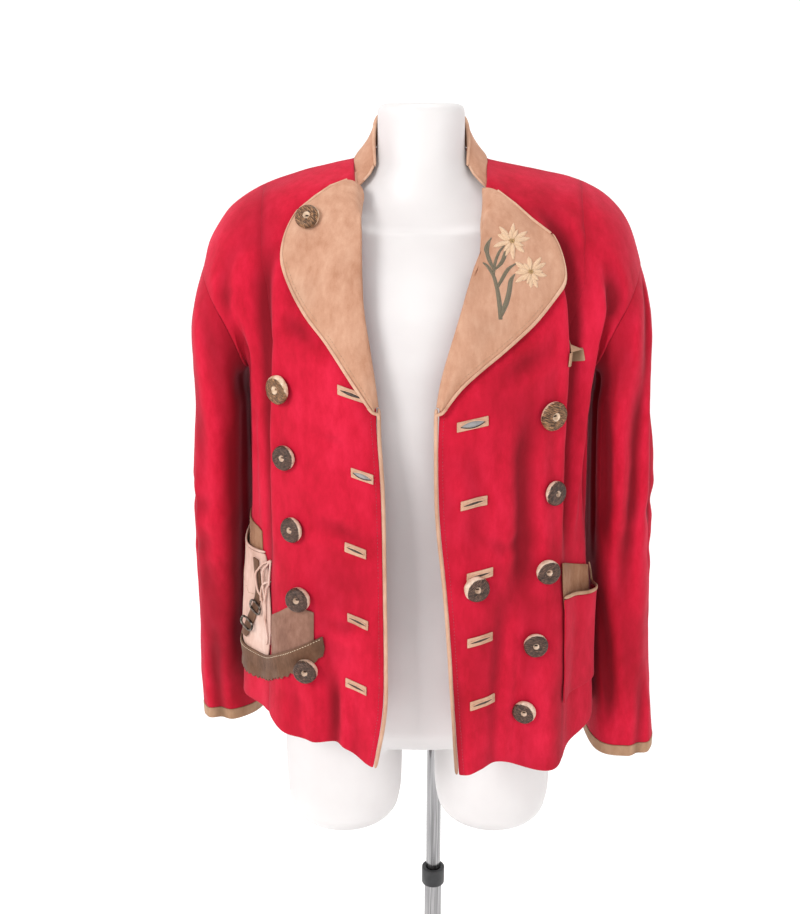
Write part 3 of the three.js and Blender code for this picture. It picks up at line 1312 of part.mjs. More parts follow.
const SOCKET_TOP = 700;
const socket = toManifold(rod(POLE_D + 0.7, 500, SOCKET_TOP + SEAM, POLE_AT.x, POLE_AT.y));
const formLoops = FORM.map((row) => {
  const loop = formLoop(row);
  return row.side > 1100 && row.side < 1345 ? loop.map((p) => tuck(tuck(tuck(p)))) : loop;
});
const inward = lining.map((face) => new THREE.Triangle(face.a, face.c, face.b));
inward.push(...SIDES.right.lapelSolid, ...SIDES.left.lapelSolid);
const closedLoops = formLoops.map((loop) => [...loop, loop[0]]);
const formWays = closedLoops.map((loop) =>
  loop.map((p) => V(-p.x, 10 - p.y, p.z > 1250 ? -60 : 0).normalize()),
);
const formShift = cleared(closedLoops, formWays, inward, FORM_CLEAR);
formLoops.forEach((loop, i) => loop.forEach((p, j) => {
  const far = j === 0 ? Math.max(formShift[i][0], formShift[i][FORM_COLUMNS]) : formShift[i][j];
  p.addScaledVector(formWays[i][j], far);
}));
const torso = toManifold(loft(formLoops));
const form = torso.add(thigh(-1)).add(thigh(1)).subtract(socket);
piece('form', fromManifold(form), 'form_white');

// ---------- stand ----------
const RING_H = 26;
const FOOT = BASE_H + 0.3;
piece('pole', rod(POLE_D, RING_Z + 8, SOCKET_TOP, POLE_AT.x, POLE_AT.y), 'chrome');
piece('stand_tube', rod(TUBE_D, FOOT, RING_Z - 2, POLE_AT.x, POLE_AT.y), 'chrome');
const clampBody = toManifold(
  rod(TUBE_D + 8, RING_Z - RING_H / 2, RING_Z + RING_H / 2, POLE_AT.x, POLE_AT.y),
);
const clampBore = toManifold(rod(TUBE_D + 0.6, 200, RING_Z - 1.7, POLE_AT.x, POLE_AT.y));
const clampNeck = toManifold(rod(POLE_D + 0.6, RING_Z - 2, 400, POLE_AT.x, POLE_AT.y));
piece(
  'height_ring',
  fromManifold(clampBody.subtract(clampBore).subtract(clampNeck)),
  'black_clamp',
);
const plateLoops = [
  { r: BASE_D / 2 - 1, z: 0 },
  { r: BASE_D / 2, z: 1 },
  { r: BASE_D / 2, z: BASE_H - 2 },
  { r: BASE_D / 2 - 2, z: BASE_H },
].map(({ r, z }) =>
  span(48).slice(0, -1).map((t) => V(r * Math.cos(t * 2 * Math.PI), r * Math.sin(t * 2 * Math.PI), z)),
);
piece('base', loft(plateLoops), 'base_metal');

export default group;
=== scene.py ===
import math

import bmesh
import bpy
import numpy as np
from mathutils import Matrix, Vector, noise
from mathutils.bvhtree import BVHTree
from mathutils.kdtree import KDTree


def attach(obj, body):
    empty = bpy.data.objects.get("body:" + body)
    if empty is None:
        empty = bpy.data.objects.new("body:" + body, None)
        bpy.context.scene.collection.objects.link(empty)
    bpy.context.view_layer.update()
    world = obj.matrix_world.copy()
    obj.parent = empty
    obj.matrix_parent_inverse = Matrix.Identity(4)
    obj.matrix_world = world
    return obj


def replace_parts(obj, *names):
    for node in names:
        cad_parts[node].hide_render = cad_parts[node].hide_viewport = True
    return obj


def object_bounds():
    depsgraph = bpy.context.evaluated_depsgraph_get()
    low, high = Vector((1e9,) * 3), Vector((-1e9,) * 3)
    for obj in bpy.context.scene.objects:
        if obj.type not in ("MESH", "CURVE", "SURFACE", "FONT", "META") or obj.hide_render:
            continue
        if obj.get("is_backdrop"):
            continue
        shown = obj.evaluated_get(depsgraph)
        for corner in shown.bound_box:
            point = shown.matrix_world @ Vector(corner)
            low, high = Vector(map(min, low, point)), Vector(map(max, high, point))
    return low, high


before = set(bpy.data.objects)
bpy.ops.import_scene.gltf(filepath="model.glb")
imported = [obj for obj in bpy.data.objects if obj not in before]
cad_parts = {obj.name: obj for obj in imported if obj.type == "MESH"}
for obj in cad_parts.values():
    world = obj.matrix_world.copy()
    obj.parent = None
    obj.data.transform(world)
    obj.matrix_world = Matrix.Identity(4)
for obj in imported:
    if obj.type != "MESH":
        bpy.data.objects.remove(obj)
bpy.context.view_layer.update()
scene = bpy.context.scene

# ---------------------------------------------------------------- body panels
# Two fronts, two sides and one back of napped goat suede, about a millimetre thick with the
# seam allowance turned in. They hang from the shoulders over the form, so the cloth falls in
# long uneven folds from the princess seams and shoulder blades.
PANELS = ("front_right", "side_right", "front_left", "side_left", "back")
SLEEVES = ("sleeve_right", "sleeve_left")

# folds of the body: width in mm, then turn round the body in degrees (the wearer's left is
# positive), height in mm and depth in mm (out is positive)
BODY_FOLDS = (
    (9, ((-65.5, 1250, 0), (-65, 1200, -4), (-62.7, 1137, -5.5), (-64.8, 1027, -5.5), (-64, 915, -3.5),
         (-62, 830, 0))),
    (8, ((-75, 1245, 0), (-72, 1190, -4), (-72, 1120, -5), (-78, 1050, -5), (-82, 960, -3), (-84, 900, 0))),
    (8, ((-69, 1150, 0), (-72, 1090, 2.5), (-78, 1010, 2.5), (-80, 950, 0))),
    (14, ((-16, 760, 0), (-18, 690, 2.5), (-19, 600, 3.5))),
    (8, ((-35, 742, 0), (-35.5, 705, -3.4), (-36, 640, -3.2))),
    (11, ((-47, 860, 0), (-45, 760, 2), (-41, 700, 3), (-40, 610, 3))),
    (10, ((-38, 1130, 0), (-50, 1152, -2.4), (-60, 1172, 0))),
    (9, ((-22, 905, 0), (-33, 925, -1.8), (-46, 932, 0))),
    (8, ((-24, 1012, 0), (-36, 1032, -1.6), (-50, 1042, 0))),
    (8, ((-20, 820, 0), (-30, 800, -1.5), (-42, 806, 0))),
    (9, ((66, 1290, 0), (64.5, 1250, -5), (62.3, 1200, -7), (61.8, 1140, -7), (62, 1030, -6.5),
         (62, 930, -5), (60, 850, 0))),
    (8, ((66, 1235, 0), (66.5, 1170, 4), (68, 1060, 4), (67, 960, 3), (66, 900, 0))),
    (7, ((69.5, 1250, 0), (71, 1180, -4), (74, 1080, -5), (76, 960, -4), (77, 890, 0))),
    (11, ((45, 1075, 0), (41, 1005, -3.2), (42, 881, -4), (40, 830, 0))),
    (10, ((38.5, 830, 0), (38, 790, 3), (36, 720, 3.5), (35.4, 660, 2.5), (35, 600, 2))),
    (12, ((19, 1040, 0), (23, 960, -1.8), (21, 870, 0))),
    (9, ((30, 1095, 0), (43, 1118, -2), (56, 1140, 0))),
    (9, ((12, 760, 0), (15, 700, -2.2), (14, 600, -3))),
    (8, ((22, 915, 0), (34, 900, -1.5), (48, 908, 0))),
    (14, ((150, 1180, 0), (146, 1080, -4), (143, 960, -5), (146, 840, -3), (150, 750, 0))),
    (14, ((-148, 1200, 0), (-145, 1100, -4.5), (-142, 980, -5), (-146, 850, -3), (-149, 740, 0))),
    (16, ((176, 1020, 0), (172, 900, -3), (174, 760, -4.5), (178, 620, -4))),
    (11, ((-168, 970, 0), (-164, 860, 2.5), (-166, 740, 3.5), (-168, 620, 3))),
    (9, ((120, 1120, 0), (122, 1040, -4), (126, 960, -3.5), (128, 890, 0))),
    (9, ((-118, 1130, 0), (-121, 1040, -4), (-126, 950, -3), (-129, 870, 0))),
    (12, ((165, 1280, 0), (150, 1235, -2.6), (132, 1200, 0))),
    (12, ((-166, 1285, 0), (-150, 1240, -2.6), (-133, 1205, 0))),
    (10, ((100, 830, 0), (101, 740, -3), (99, 600, -4))),
    (10, ((-101, 840, 0), (-103, 740, -3), (-101, 600, -4))),
    (10, ((132, 760, 0), (135, 690, 3), (137, 600, 4))),
    (9, ((-122, 740, 0), (-125, 680, 2.5), (-127, 600, 3))),
    (9, ((168, 1120, 0), (158, 1100, -2), (146, 1110, 0))),
)
# how much deeper than the rows above the folds of the body hang, and its half width in metres
BODY_FOLD_DEPTH, BODY_ARM = 1.5, 0.19
# the cloth swells beside each fold: share of its depth, then place and width in fold widths
SWELL, SWELL_PLACE, SWELL_WIDTH = 0.4, 2.0, 0.85
# above this height, in metres, the cloth's outside turns up over the shoulders
SHOULDER = 1.16
# corners closer than this, in metres, are one corner
MERGE = 1e-5
# cut edges: a place every 6 mm along them, and wear that fades 5 mm from them
RIM_STEP, WORN_REACH = 0.006, 0.005


def wrapped(turn):
    return (turn + 180) % 360 - 180


def turn_of(points):
    """Each point's place round the body, in degrees from the middle of the front."""
    return np.degrees(np.arctan2(points[:, 0], -points[:, 1]))


def outwards(points, shoulder=SHOULDER):
    """Each point's way out of the body, level below the shoulder."""
    way = np.stack([points[:, 0], points[:, 1], np.maximum(points[:, 2] - shoulder, 0)], 1)
    return way / np.linalg.norm(way, axis=1)[:, None]


def folds(turn, z, lines, arm):
    """How far the cloth stands out or in, in metres. arm turns an angle into a length."""
    total = np.zeros(len(turn))
    for width, rows in lines:
        nearest = np.full(len(turn), 1e3)
        depth = np.zeros(len(turn))
        for (ta, za, da), (tb, zb, db) in zip(rows, rows[1:]):
            along = np.array([math.radians(tb - ta) * arm, (zb - za) / 1000])
            x = np.radians(wrapped(turn - ta)) * arm
            y = z - za / 1000
            t = np.clip((x * along[0] + y * along[1]) / (along @ along), 0, 1)
            gap = np.hypot(x - t * along[0], y - t * along[1])
            closer = gap < nearest
            nearest[closer] = gap[closer]
            depth[closer] = (da + (db - da) * t)[closer] / 1000
        r = nearest / (width / 1000)
        total += depth * (np.exp(-r * r) - SWELL * np.exp(-(((r - SWELL_PLACE) / SWELL_WIDTH) ** 2)))
    return total


def ripple(points, size, seed):
    """Small uneven dents of the hand of the cloth, from -1 to 1."""
    return np.array([noise.noise(Vector(p) / size + Vector((seed, seed * 2, 0))) for p in points])


def skin(nodes):
    """A search tree of the outside of some solids."""
    points, faces = [], []
    for node in nodes:
        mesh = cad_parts[node].data
        start = len(points)
        points += [v.co.copy() for v in mesh.vertices]
        faces += [[start + i for i in p.vertices] for p in mesh.polygons]
    return BVHTree.FromPolygons(points, faces)


def away(tree, points, reach):
    """Each point's distance to a surface, up to reach."""
    found = np.full(len(points), reach)
    for k, p in enumerate(points):
        hit = tree.find_nearest(p, reach)
        if hit[0] is not None:
            found[k] = hit[3]
    return found


def smooth(x, low, high):
    """Rises softly from 0 at low to 1 at high."""
    t = np.clip((x - low) / (high - low), 0, 1)
    return t * t * (3 - 2 * t)


def points_of(obj):
    flat = np.empty(len(obj.data.vertices) * 3, np.float32)
    obj.data.vertices.foreach_get("co", flat)
    return flat.reshape(-1, 3).astype(float)


def put_points(obj, points):
    obj.data.vertices.foreach_set("co", points.astype(np.float32).ravel())
    obj.data.update()


def mark(obj, name, values):
    """Keeps one number for each point on the mesh, for its material."""
    layer = obj.data.attributes.get(name) or obj.data.attributes.new(name, "FLOAT", "POINT")
    layer.data.foreach_set("value", np.asarray(values, np.float32))


def shade_smooth(mesh):
    mesh.polygons.foreach_set("use_smooth", [True] * len(mesh.polygons))


def bake(obj):
    """Turns the object's modifiers into its mesh."""
    tree = bpy.context.evaluated_depsgraph_get()
    made = bpy.data.meshes.new_from_object(obj.evaluated_get(tree))
    obj.modifiers.clear()
    old = obj.data
    obj.data = made
    bpy.data.meshes.remove(old)
    shade_smooth(made)


def solid_of(node):
    """A bmesh of one solid, its loose triangles joined at their corners."""
    bm = bmesh.new()
    bm.from_mesh(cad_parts[node].data)
    bmesh.ops.remove_doubles(bm, verts=bm.verts, dist=MERGE)
    return bm


def quads_of(node, flat=40):
    """The same in quads, where two triangles meet at less than flat degrees."""
    bm = solid_of(node)
    bmesh.ops.join_triangles(bm, faces=bm.faces, angle_face_threshold=math.radians(flat),
                             angle_shape_threshold=math.pi)
    return bm


def placed(name, bm):
    """A new object from a bmesh."""
    mesh = bpy.data.meshes.new(name)
    bm.to_mesh(mesh)
    bm.free()
    obj = bpy.data.objects.new(name, mesh)
    scene.collection.objects.link(obj)
    return obj


def cloth_of(name, node, levels, sharp=50, crease=0.5, swell=0.0):
    """A soft copy of one sewn piece: its solid in quads, rounded, with firm cut edges.
    swell grows a thin cord again by what the rounding took off it."""
    bm = quads_of(node)
    layer = bm.edges.layers.float.get("crease_edge") or bm.edges.layers.float.new("crease_edge")
    rim = []
    for edge in bm.edges:
        if edge.calc_face_angle(0) > math.radians(sharp):
            edge[layer] = crease
            a, b = edge.verts[0].co, edge.verts[1].co
            steps = max(1, int((b - a).length / RIM_STEP))
            rim += [a.lerp(b, k / steps) for k in range(steps + 1)]
    obj = placed(name, bm)
    rounded = obj.modifiers.new("soft", "SUBSURF")
    rounded.levels = rounded.render_levels = levels
    bake(obj)
    points = points_of(obj)
    if swell:
        normals = np.empty(len(points) * 3, np.float32)
        obj.data.vertices.foreach_get("normal", normals)
        points += normals.reshape(-1, 3) * swell
        put_points(obj, points)
    worn = np.zeros(len(points))
    if rim:
        tree = KDTree(len(rim))
        for k, p in enumerate(rim):
            tree.insert(p, k)
        tree.balance()
        worn = [math.exp(-tree.find(p)[2] / WORN_REACH) for p in points]
    mark(obj, "edge", worn)
    return obj


form_skin = skin(["form"])
sleeve_skin = skin(SLEEVES)


def body_drape(points):
    """How the hanging body moves each point, and how deep in a fold it lies."""
    z = points[:, 2]
    out = BODY_FOLD_DEPTH * folds(turn_of(points), z, BODY_FOLDS, BODY_ARM)
    # broad dents run down the cloth, and small ones lie anyhow
    out += 0.0026 * ripple(points * (1, 1, 0.45), 0.07, 3.1) + 0.0009 * ripple(points, 0.03, 7.7)
    # the armhole seam holds the cloth still, and the sleeve beside it stops it from going out
    near = away(sleeve_skin, points, 0.06)
    sewn = 1 - smooth(z, 1.0, 1.08) * (1 - smooth(near, 0.001, 0.018))
    out *= np.where(out > 0, smooth(near, 0.004, 0.03), sewn)
    # a fold goes in as far as the form lets it
    room = away(form_skin, points, 0.03) - 0.0035
    out = np.maximum(out, -np.maximum(room, 0))
    return outwards(points) * out[:, None], out


def seam_groove(obj, others, depth=0.0011, reach=0.006):
    """The cloth dips where it is sewn to the next piece."""
    points = points_of(obj)
    dip = np.exp(-((away(skin(others), points, 0.02) / reach) ** 2))
    put_points(obj, points - outwards(points) * (depth * dip)[:, None])
    return dip


def set_up(node, **values):
    """Sets a node's sockets by their labels, with a low line for each space."""
    for label, value in values.items():
        node.inputs[label.replace("_", " ")].default_value = value
    return node


def suede_group():
    """Napped suede: brushed blotches, strokes of the hand and a fine pile."""
    group = bpy.data.node_groups.new("suede_nap", "ShaderNodeTree")
    face = group.interface
    for label, value in (("Blotch", 15.0), ("Stroke", 95.0), ("Pile", 1500.0)):
        face.new_socket(name=label, in_out="INPUT", socket_type="NodeSocketFloat").default_value = value
    face.new_socket(name="Tone", in_out="OUTPUT", socket_type="NodeSocketFloat")
    face.new_socket(name="Height", in_out="OUTPUT", socket_type="NodeSocketFloat")
    nodes, link = group.nodes, group.links.new
    given, result = nodes.new("NodeGroupInput"), nodes.new("NodeGroupOutput")
    place = nodes.new("ShaderNodeTexCoord")
    brushed = nodes.new("ShaderNodeMapping")
    brushed.inputs["Scale"].default_value = (1.0, 1.0, 0.45)
    link(place.outputs["Object"], brushed.inputs["Vector"])

    def cloud(size, detail, rough, vector):
        node = set_up(nodes.new("ShaderNodeTexNoise"), Detail=detail, Roughness=rough)
        link(given.outputs[size], node.inputs["Scale"])
        link(vector, node.inputs["Vector"])
        return node.outputs["Fac"]

    blotch = cloud("Blotch", 4.0, 0.6, brushed.outputs["Vector"])
    stroke = cloud("Stroke", 3.0, 0.65, brushed.outputs["Vector"])
    pile = cloud("Pile", 2.0, 0.6, place.outputs["Object"])

    def mixed(a, b, share):
        node = nodes.new("ShaderNodeMix")
        node.data_type = "FLOAT"
        node.inputs[0].default_value = share
        link(a, node.inputs[2])
        link(b, node.inputs[3])
        return node.outputs[0]

    link(mixed(mixed(blotch, stroke, 0.35), pile, 0.16), result.inputs["Tone"])
    link(mixed(stroke, pile, 0.62), result.inputs["Height"])
    return group


suede_nap = suede_group()


def plain(name):
    """A new material: its nodes, its links and its surface shader."""
    material = bpy.data.materials.new(name)
    material.use_nodes = True
    nodes = material.node_tree.nodes
    return material, nodes, material.node_tree.links.new, nodes["Principled BSDF"]


def cloud_of(nodes, link, scale, detail=2.0, rough=0.5, vector=None):
    """A cloudy value over the surface, in the object's own space."""
    cloud = set_up(nodes.new("ShaderNodeTexNoise"), Scale=scale, Detail=detail, Roughness=rough)
    if vector is None:
        vector = nodes.new("ShaderNodeTexCoord").outputs["Object"]
    link(vector, cloud.inputs["Vector"])
    return cloud.outputs["Fac"]


def ramp_of(nodes, link, value, stops):
    """Colours in stops along a value."""
    ramp = nodes.new("ShaderNodeValToRGB")
    band = ramp.color_ramp
    while len(band.elements) < len(stops):
        band.elements.new(0.5)
    for element, (at, colour) in zip(band.elements, stops):
        element.position = at
        element.color = (*colour, 1)
    link(value, ramp.inputs["Fac"])
    return ramp.outputs["Color"]


def gloss_by(nodes, link, shader, value, low, high):
    """The roughness follows a value from low to high."""
    gloss = set_up(nodes.new("ShaderNodeMapRange"), To_Min=low, To_Max=high)
    link(value, gloss.inputs["Value"])
    link(gloss.outputs["Result"], shader.inputs["Roughness"])


def relief_by(nodes, link, shader, value, strength, distance):
    """The fine relief of the surface follows a value."""
    relief = set_up(nodes.new("ShaderNodeBump"), Strength=strength, Distance=distance)
    link(value, relief.inputs["Height"])
    link(relief.outputs["Normal"], shader.inputs["Normal"])


def tinted(nodes, link, base, amount, colour, scale):
    """Lays a colour over another by an amount that changes over the surface."""
    strength = nodes.new("ShaderNodeMath")
    strength.operation = "MULTIPLY"
    strength.use_clamp = True
    strength.inputs[1].default_value = scale
    link(amount, strength.inputs[0])
    over = nodes.new("ShaderNodeMix")
    over.data_type = "RGBA"
    link(strength.outputs[0], over.inputs[0])
    link(base, over.inputs[6])
    over.inputs[7].default_value = (*colour, 1)
    return over.outputs[2]


def suede(name, dark, mid, light, worn, blotch=15, stroke=95, pile=1500, bump=0.3, sheen=0.25,
          tint=(1, 1, 1), wear=0.5):
    """Napped suede in three tones, worn at its cut edges, with painted shade in its folds and seams and on
    sides marked for it.
    """
    material, nodes, link, shader = plain(name)
    nap = nodes.new("ShaderNodeGroup")
    nap.node_tree = suede_nap
    set_up(nap, Blotch=blotch, Stroke=stroke, Pile=pile)
    colour = ramp_of(nodes, link, nap.outputs["Tone"], ((0.36, dark), (0.5, mid), (0.64, light)))
    # worn cut edges, then painted shade in the folds ("deep") and along the seams ("seam")
    for kept, over, scale in (
        ("edge", worn, wear),
        ("deep", [c * 0.45 for c in dark], 0.88),
        ("seam", [c * 0.5 for c in dark], 0.3),
    ):
        amount = nodes.new("ShaderNodeAttribute")
        amount.attribute_name = kept
        colour = tinted(nodes, link, colour, amount.outputs["Fac"], over, scale)
    link(colour, shader.inputs["Base Color"])
    gloss_by(nodes, link, shader, nap.outputs["Tone"], 0.98, 0.78)
    relief_by(nodes, link, shader, nap.outputs["Height"], bump, 0.0008)
    set_up(shader, Specular_IOR_Level=0.18, Sheen_Weight=sheen, Sheen_Roughness=0.45, Sheen_Tint=(*tint, 1))
    return material


red_suede = suede("red_suede", (0.38, 0.004, 0.017), (0.51, 0.006, 0.028), (0.62, 0.012, 0.045),
                  (0.38, 0.005, 0.02), sheen=0.22, tint=(1.0, 0.25, 0.35))


def sew_on(obj, material, slot, *nodes):
    """Gives a finished piece its material and its place on the body, and the nodes it stands for."""
    obj.data.materials.clear()
    obj.data.materials.append(material)
    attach(obj, "root")
    if nodes:
        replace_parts(obj, *nodes)
    return obj


# a fold this deep, in metres, takes the darkest painted shade
DARK_DEPTH = 0.006


def draped(obj, brushed=0.0):
    """Moves a piece that lies on the body with the body's folds, with painted shade in them. brushed adds
    painted shade to all of the piece alike.
    """
    points = points_of(obj)
    shift, out = body_drape(points)
    put_points(obj, points + shift)
    mark(obj, "deep", np.clip(-out / DARK_DEPTH + brushed, 0, 1))
    return obj


def sewn_piece(name, node, levels, material, slot, **rounding):
    """A piece sewn on the body, draped with it, in place of its solid."""
    return sew_on(draped(cloth_of(name, node, levels, **rounding)), material, slot, node)


def tree_of(*objs):
    """A search tree of finished pieces."""
    points, faces = [], []
    for obj in objs:
        start = len(points)
        points += [v.co.copy() for v in obj.data.vertices]
        faces += [[start + i for i in p.vertices] for p in obj.data.polygons]
    return BVHTree.FromPolygons(points, faces)


def meet(obj, tree, reach=0.005):
    """Closes a sewn seam: the cut edge comes up against the finished piece beside it."""
    points = points_of(obj)
    tone = np.zeros(len(points))
    for k, p in enumerate(points):
        hit = tree.find_nearest(p, 0.02)
        if hit[0] is not None:
            points[k] += (np.array(hit[0]) - p) * (1 - smooth(hit[3], 0.0007, reach)) * 0.92
            tone[k] = math.exp(-((hit[3] / 0.004) ** 2))
    put_points(obj, points)
    return tone


panel = {}
for node in PANELS:
    piece = cloth_of(node + "_suede", node, 3, crease=0.85)
    sewn = seam_groove(piece, [n for n in PANELS if n != node], depth=0.0007, reach=0.005)
    if node in ("front_right", "front_left"):
        seam_groove(piece, [node.replace("front", "lapel")], depth=0.0034, reach=0.011)
    if node == "front_left":
        # its edge is tucked under the roll of the lapel
        points = points_of(piece)
        x, y, z = points.T
        under = (1 - smooth(x, 0.066, 0.092)) * smooth(z, 1.17, 1.21) * (1 - smooth(z, 1.27, 1.30))
        put_points(piece, points + under[:, None] * (0.0065, 0.003, 0))
    # the wearer's left front takes a little painted shade all over
    draped(piece, 0.16 if node == "front_left" else 0.0)
    # painted shade along the seams
    mark(piece, "seam", sewn)
    panel[node] = sew_on(piece, red_suede, "red_suede", node)
for node, beside in (
    ("side_right", ("front_right",)),
    ("side_left", ("front_left",)),
    ("back", ("front_right", "side_right", "front_left", "side_left")),
):
    meet(panel[node], tree_of(*(panel[n] for n in beside)))

# ---------------------------------------------------------------- sleeves
# Two-piece sleeves set in below a wide dropped shoulder. They hang free and straight, with
# long folds on the inside of the arm and short ones round the elbow.
SLEEVE_FOLDS = {
    "sleeve_right": (
        (13, ((-40, 1180, 0), (-34, 1080, -3.6), (-28, 960, -4), (-30, 820, -3.6), (-30, 700, -2.2),
              (-32, 640, 0))),
        (8, ((-70, 1080, 0), (-66, 980, 2.5), (-64, 880, 2), (-66, 800, 0))),
        (8, ((14, 1200, 0), (12, 1120, 2), (6, 1000, 2.4), (8, 880, 2), (4, 780, 0))),
        (9, ((40, 1140, 0), (46, 1040, -2.6), (42, 920, -3), (50, 800, -2), (48, 700, 0))),
        (12, ((-20, 944, 0), (20, 915, -1.2), (70, 926, -1.3), (120, 905, 0))),
        (11, ((-10, 872, 0), (30, 856, -1.1), (85, 866, 0))),
        (9, ((100, 1130, 0), (112, 1000, -3), (108, 880, -3), (118, 750, 0))),
        (10, ((170, 1110, 0), (165, 980, -4), (175, 860, -4), (168, 740, -2), (170, 650, 0))),
        (9, ((-120, 1060, 0), (-115, 930, -3), (-122, 800, -3), (-118, 690, 0))),
        (7, ((10, 740, 0), (14, 660, -2.2), (12, 570, -2.4))),
        (7, ((80, 710, 0), (76, 640, -2), (78, 570, -1.6))),
        (6, ((140, 900, 0), (175, 880, -2), (210, 892, 0))),
    ),
    "sleeve_left": (
        (10, ((-52, 1200, 0), (-54, 1120, -4.5), (-50, 1000, -4.5), (-46, 880, -2.5), (-44, 820, 0))),
        (7, ((-10, 1120, 0), (-8, 1030, 2.2), (-8, 940, 2.2), (-10, 860, 0))),
        (7, ((17, 1120, 0), (15, 1040, -3.6), (12, 940, -4), (4, 860, -3), (-2, 780, 0))),
        (6, ((10, 1240, 0), (12, 1180, -2.6), (14, 1120, -3), (16, 1080, 0))),
        (8, ((-22, 1060, 0), (-18, 985, -4.4), (-17, 920, -4.4), (-22, 850, 0))),
        (8, ((-30, 830, 0), (-24, 740, -3), (-20, 650, -3), (-22, 600, 0))),
        (9, ((45, 1110, 0), (38, 1000, -2.5), (46, 860, -3), (40, 740, 0))),
        (12, ((-10, 930, 0), (30, 908, -1.2), (75, 920, -1.3), (115, 900, 0))),
        (11, ((10, 862, 0), (52, 844, -1.0), (90, 858, 0))),
        (10, ((108, 1140, 0), (100, 990, -3), (112, 850, -3.4), (104, 700, 0))),
        (10, ((172, 1100, 0), (178, 960, -4), (168, 830, -4), (174, 690, 0))),
        (9, ((-112, 1050, 0), (-120, 900, -3), (-114, 760, -3), (-120, 650, 0))),
        (7, ((20, 700, 0), (24, 640, -2), (22, 560, -2.2))),
        (6, ((142, 905, 0), (176, 886, -2), (212, 898, 0))),
    ),
}
# how much deeper than the rows above the folds of a sleeve hang, and its half width in metres
SLEEVE_FOLD_DEPTH, SLEEVE_ARM = 1.9, 0.055
panel_skin = skin(PANELS)
# the middle line of each sleeve: its place across and from front to back, by its height
SLICE = 0.04
sleeve_line = {}
for node in SLEEVES:
    at = points_of(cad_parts[node])
    rows = []
    for low in np.arange(0.58, 1.2, SLICE):
        near = at[(at[:, 2] >= low) & (at[:, 2] < low + SLICE + 0.005)]
        if len(near) > 8:
            rows.append((low + SLICE / 2, *((near.min(0) + near.max(0)) / 2)[:2]))
    rows = np.array(rows)
    sleeve_line[node] = (np.polyfit(rows[:, 0], rows[:, 1], 3), np.polyfit(rows[:, 0], rows[:, 2], 3))


# where painted shade darkens each sleeve on the side by the body: its middle and half its width, in degrees
SLEEVE_SHADE = {"sleeve_right": (-70, 145), "sleeve_left": (-68, 92)}


def sleeve_turn(points, node):
    """Each point's place across, along and round the arm, and its height."""
    side = -1 if node == "sleeve_right" else 1
    z = points[:, 2]
    x = points[:, 0] - np.polyval(sleeve_line[node][0], z)
    y = points[:, 1] - np.polyval(sleeve_line[node][1], z)
    return x, y, np.degrees(np.arctan2(side * x, -y)), z


def sleeve_drape(points, node):
    """How a hanging sleeve moves each point."""
    x, y, turn, z = sleeve_turn(points, node)
    out = SLEEVE_FOLD_DEPTH * folds(turn, z, SLEEVE_FOLDS[node], SLEEVE_ARM)
    out += 0.0022 * ripple(points * (1, 1, 0.5), 0.055, 5.3) + 0.0008 * ripple(points, 0.026, 9.1)
    near = away(panel_skin, points, 0.07)
    sewn = 1 - smooth(z, 1.0, 1.08) * (1 - smooth(near, 0.001, 0.02))
    out *= np.where(out > 0, smooth(near, 0.003, 0.03), sewn)
    length = np.hypot(x, y)
    return np.stack([x, y, 0 * x], 1) * (out / length)[:, None], out


def hung(obj, node):
    """Moves a piece of a sleeve with the sleeve's folds, with painted shade in its folds and on
    the side that the body shadows, from the cuff to the shoulder."""
    points = points_of(obj)
    shift, out = sleeve_drape(points, node)
    inner, outer = SLEEVE_SHADE[node]
    turn, z = sleeve_turn(points, node)[2:]
    # painted shade on the side of the arm by the body, fading out towards the cuff and the shoulder
    shade = smooth(-np.abs(wrapped(turn - inner)), -outer, -outer * 0.35)
    shade *= smooth(z, 0.56, 0.7) * (1 - smooth(z, 1.1, 1.22))
    put_points(obj, points + shift)
    mark(obj, "deep", np.clip(-out / 0.007 + 0.85 * shade, 0, 1))
    return obj


body_tree = tree_of(*(panel[n] for n in PANELS))
for node in SLEEVES:
    piece = hung(cloth_of(node + "_suede", node, 3), node)
    tone = meet(piece, body_tree, 0.006)
    # painted shade along the armhole seam
    mark(piece, "seam", tone * (points_of(piece)[:, 2] > 1.0) * 0.5)
    panel[node] = sew_on(piece, red_suede, "red_suede", node)

# ---------------------------------------------------------------- cuffs
# A flat band of the tan suede binds each sleeve end. It is cut on its own, laid over the raw
# edge, turned to the inside and stitched.
tan_binding = suede("tan_binding", (0.32, 0.18, 0.10), (0.42, 0.25, 0.155), (0.52, 0.33, 0.215),
                    (0.30, 0.17, 0.1), blotch=30, stroke=160, sheen=0.12, tint=(1, 0.85, 0.7), wear=0.35)
for side in ("right", "left"):
    # the band takes the sleeve's painted shade in its folds and on the side by the body
    piece = hung(cloth_of(f"cuff_{side}_band", f"cuff_{side}", 2), "sleeve_" + side)
    sew_on(piece, tan_binding, "tan_binding", "cuff_" + side)

# ---------------------------------------------------------------- collar and lapels
# Tan suede stand collar and turned-back lapels. A rolled piping of the same hide runs round
# each outer edge, held by a stitch line in a shallow groove.
tan_suede = suede("tan_suede", (0.42, 0.205, 0.125), (0.51, 0.275, 0.18), (0.59, 0.35, 0.24),
                  (0.40, 0.19, 0.11), blotch=34, stroke=150, pile=1300, bump=0.34, sheen=0.16,
                  tint=(1, 0.85, 0.72), wear=0.3)
pale_binding = suede("pale_binding", (0.46, 0.25, 0.165), (0.56, 0.33, 0.225), (0.64, 0.41, 0.29),
                     (0.40, 0.22, 0.14), blotch=40, stroke=180, bump=0.2, sheen=0.1, tint=(1, 0.88, 0.76),
                     wear=0.2)
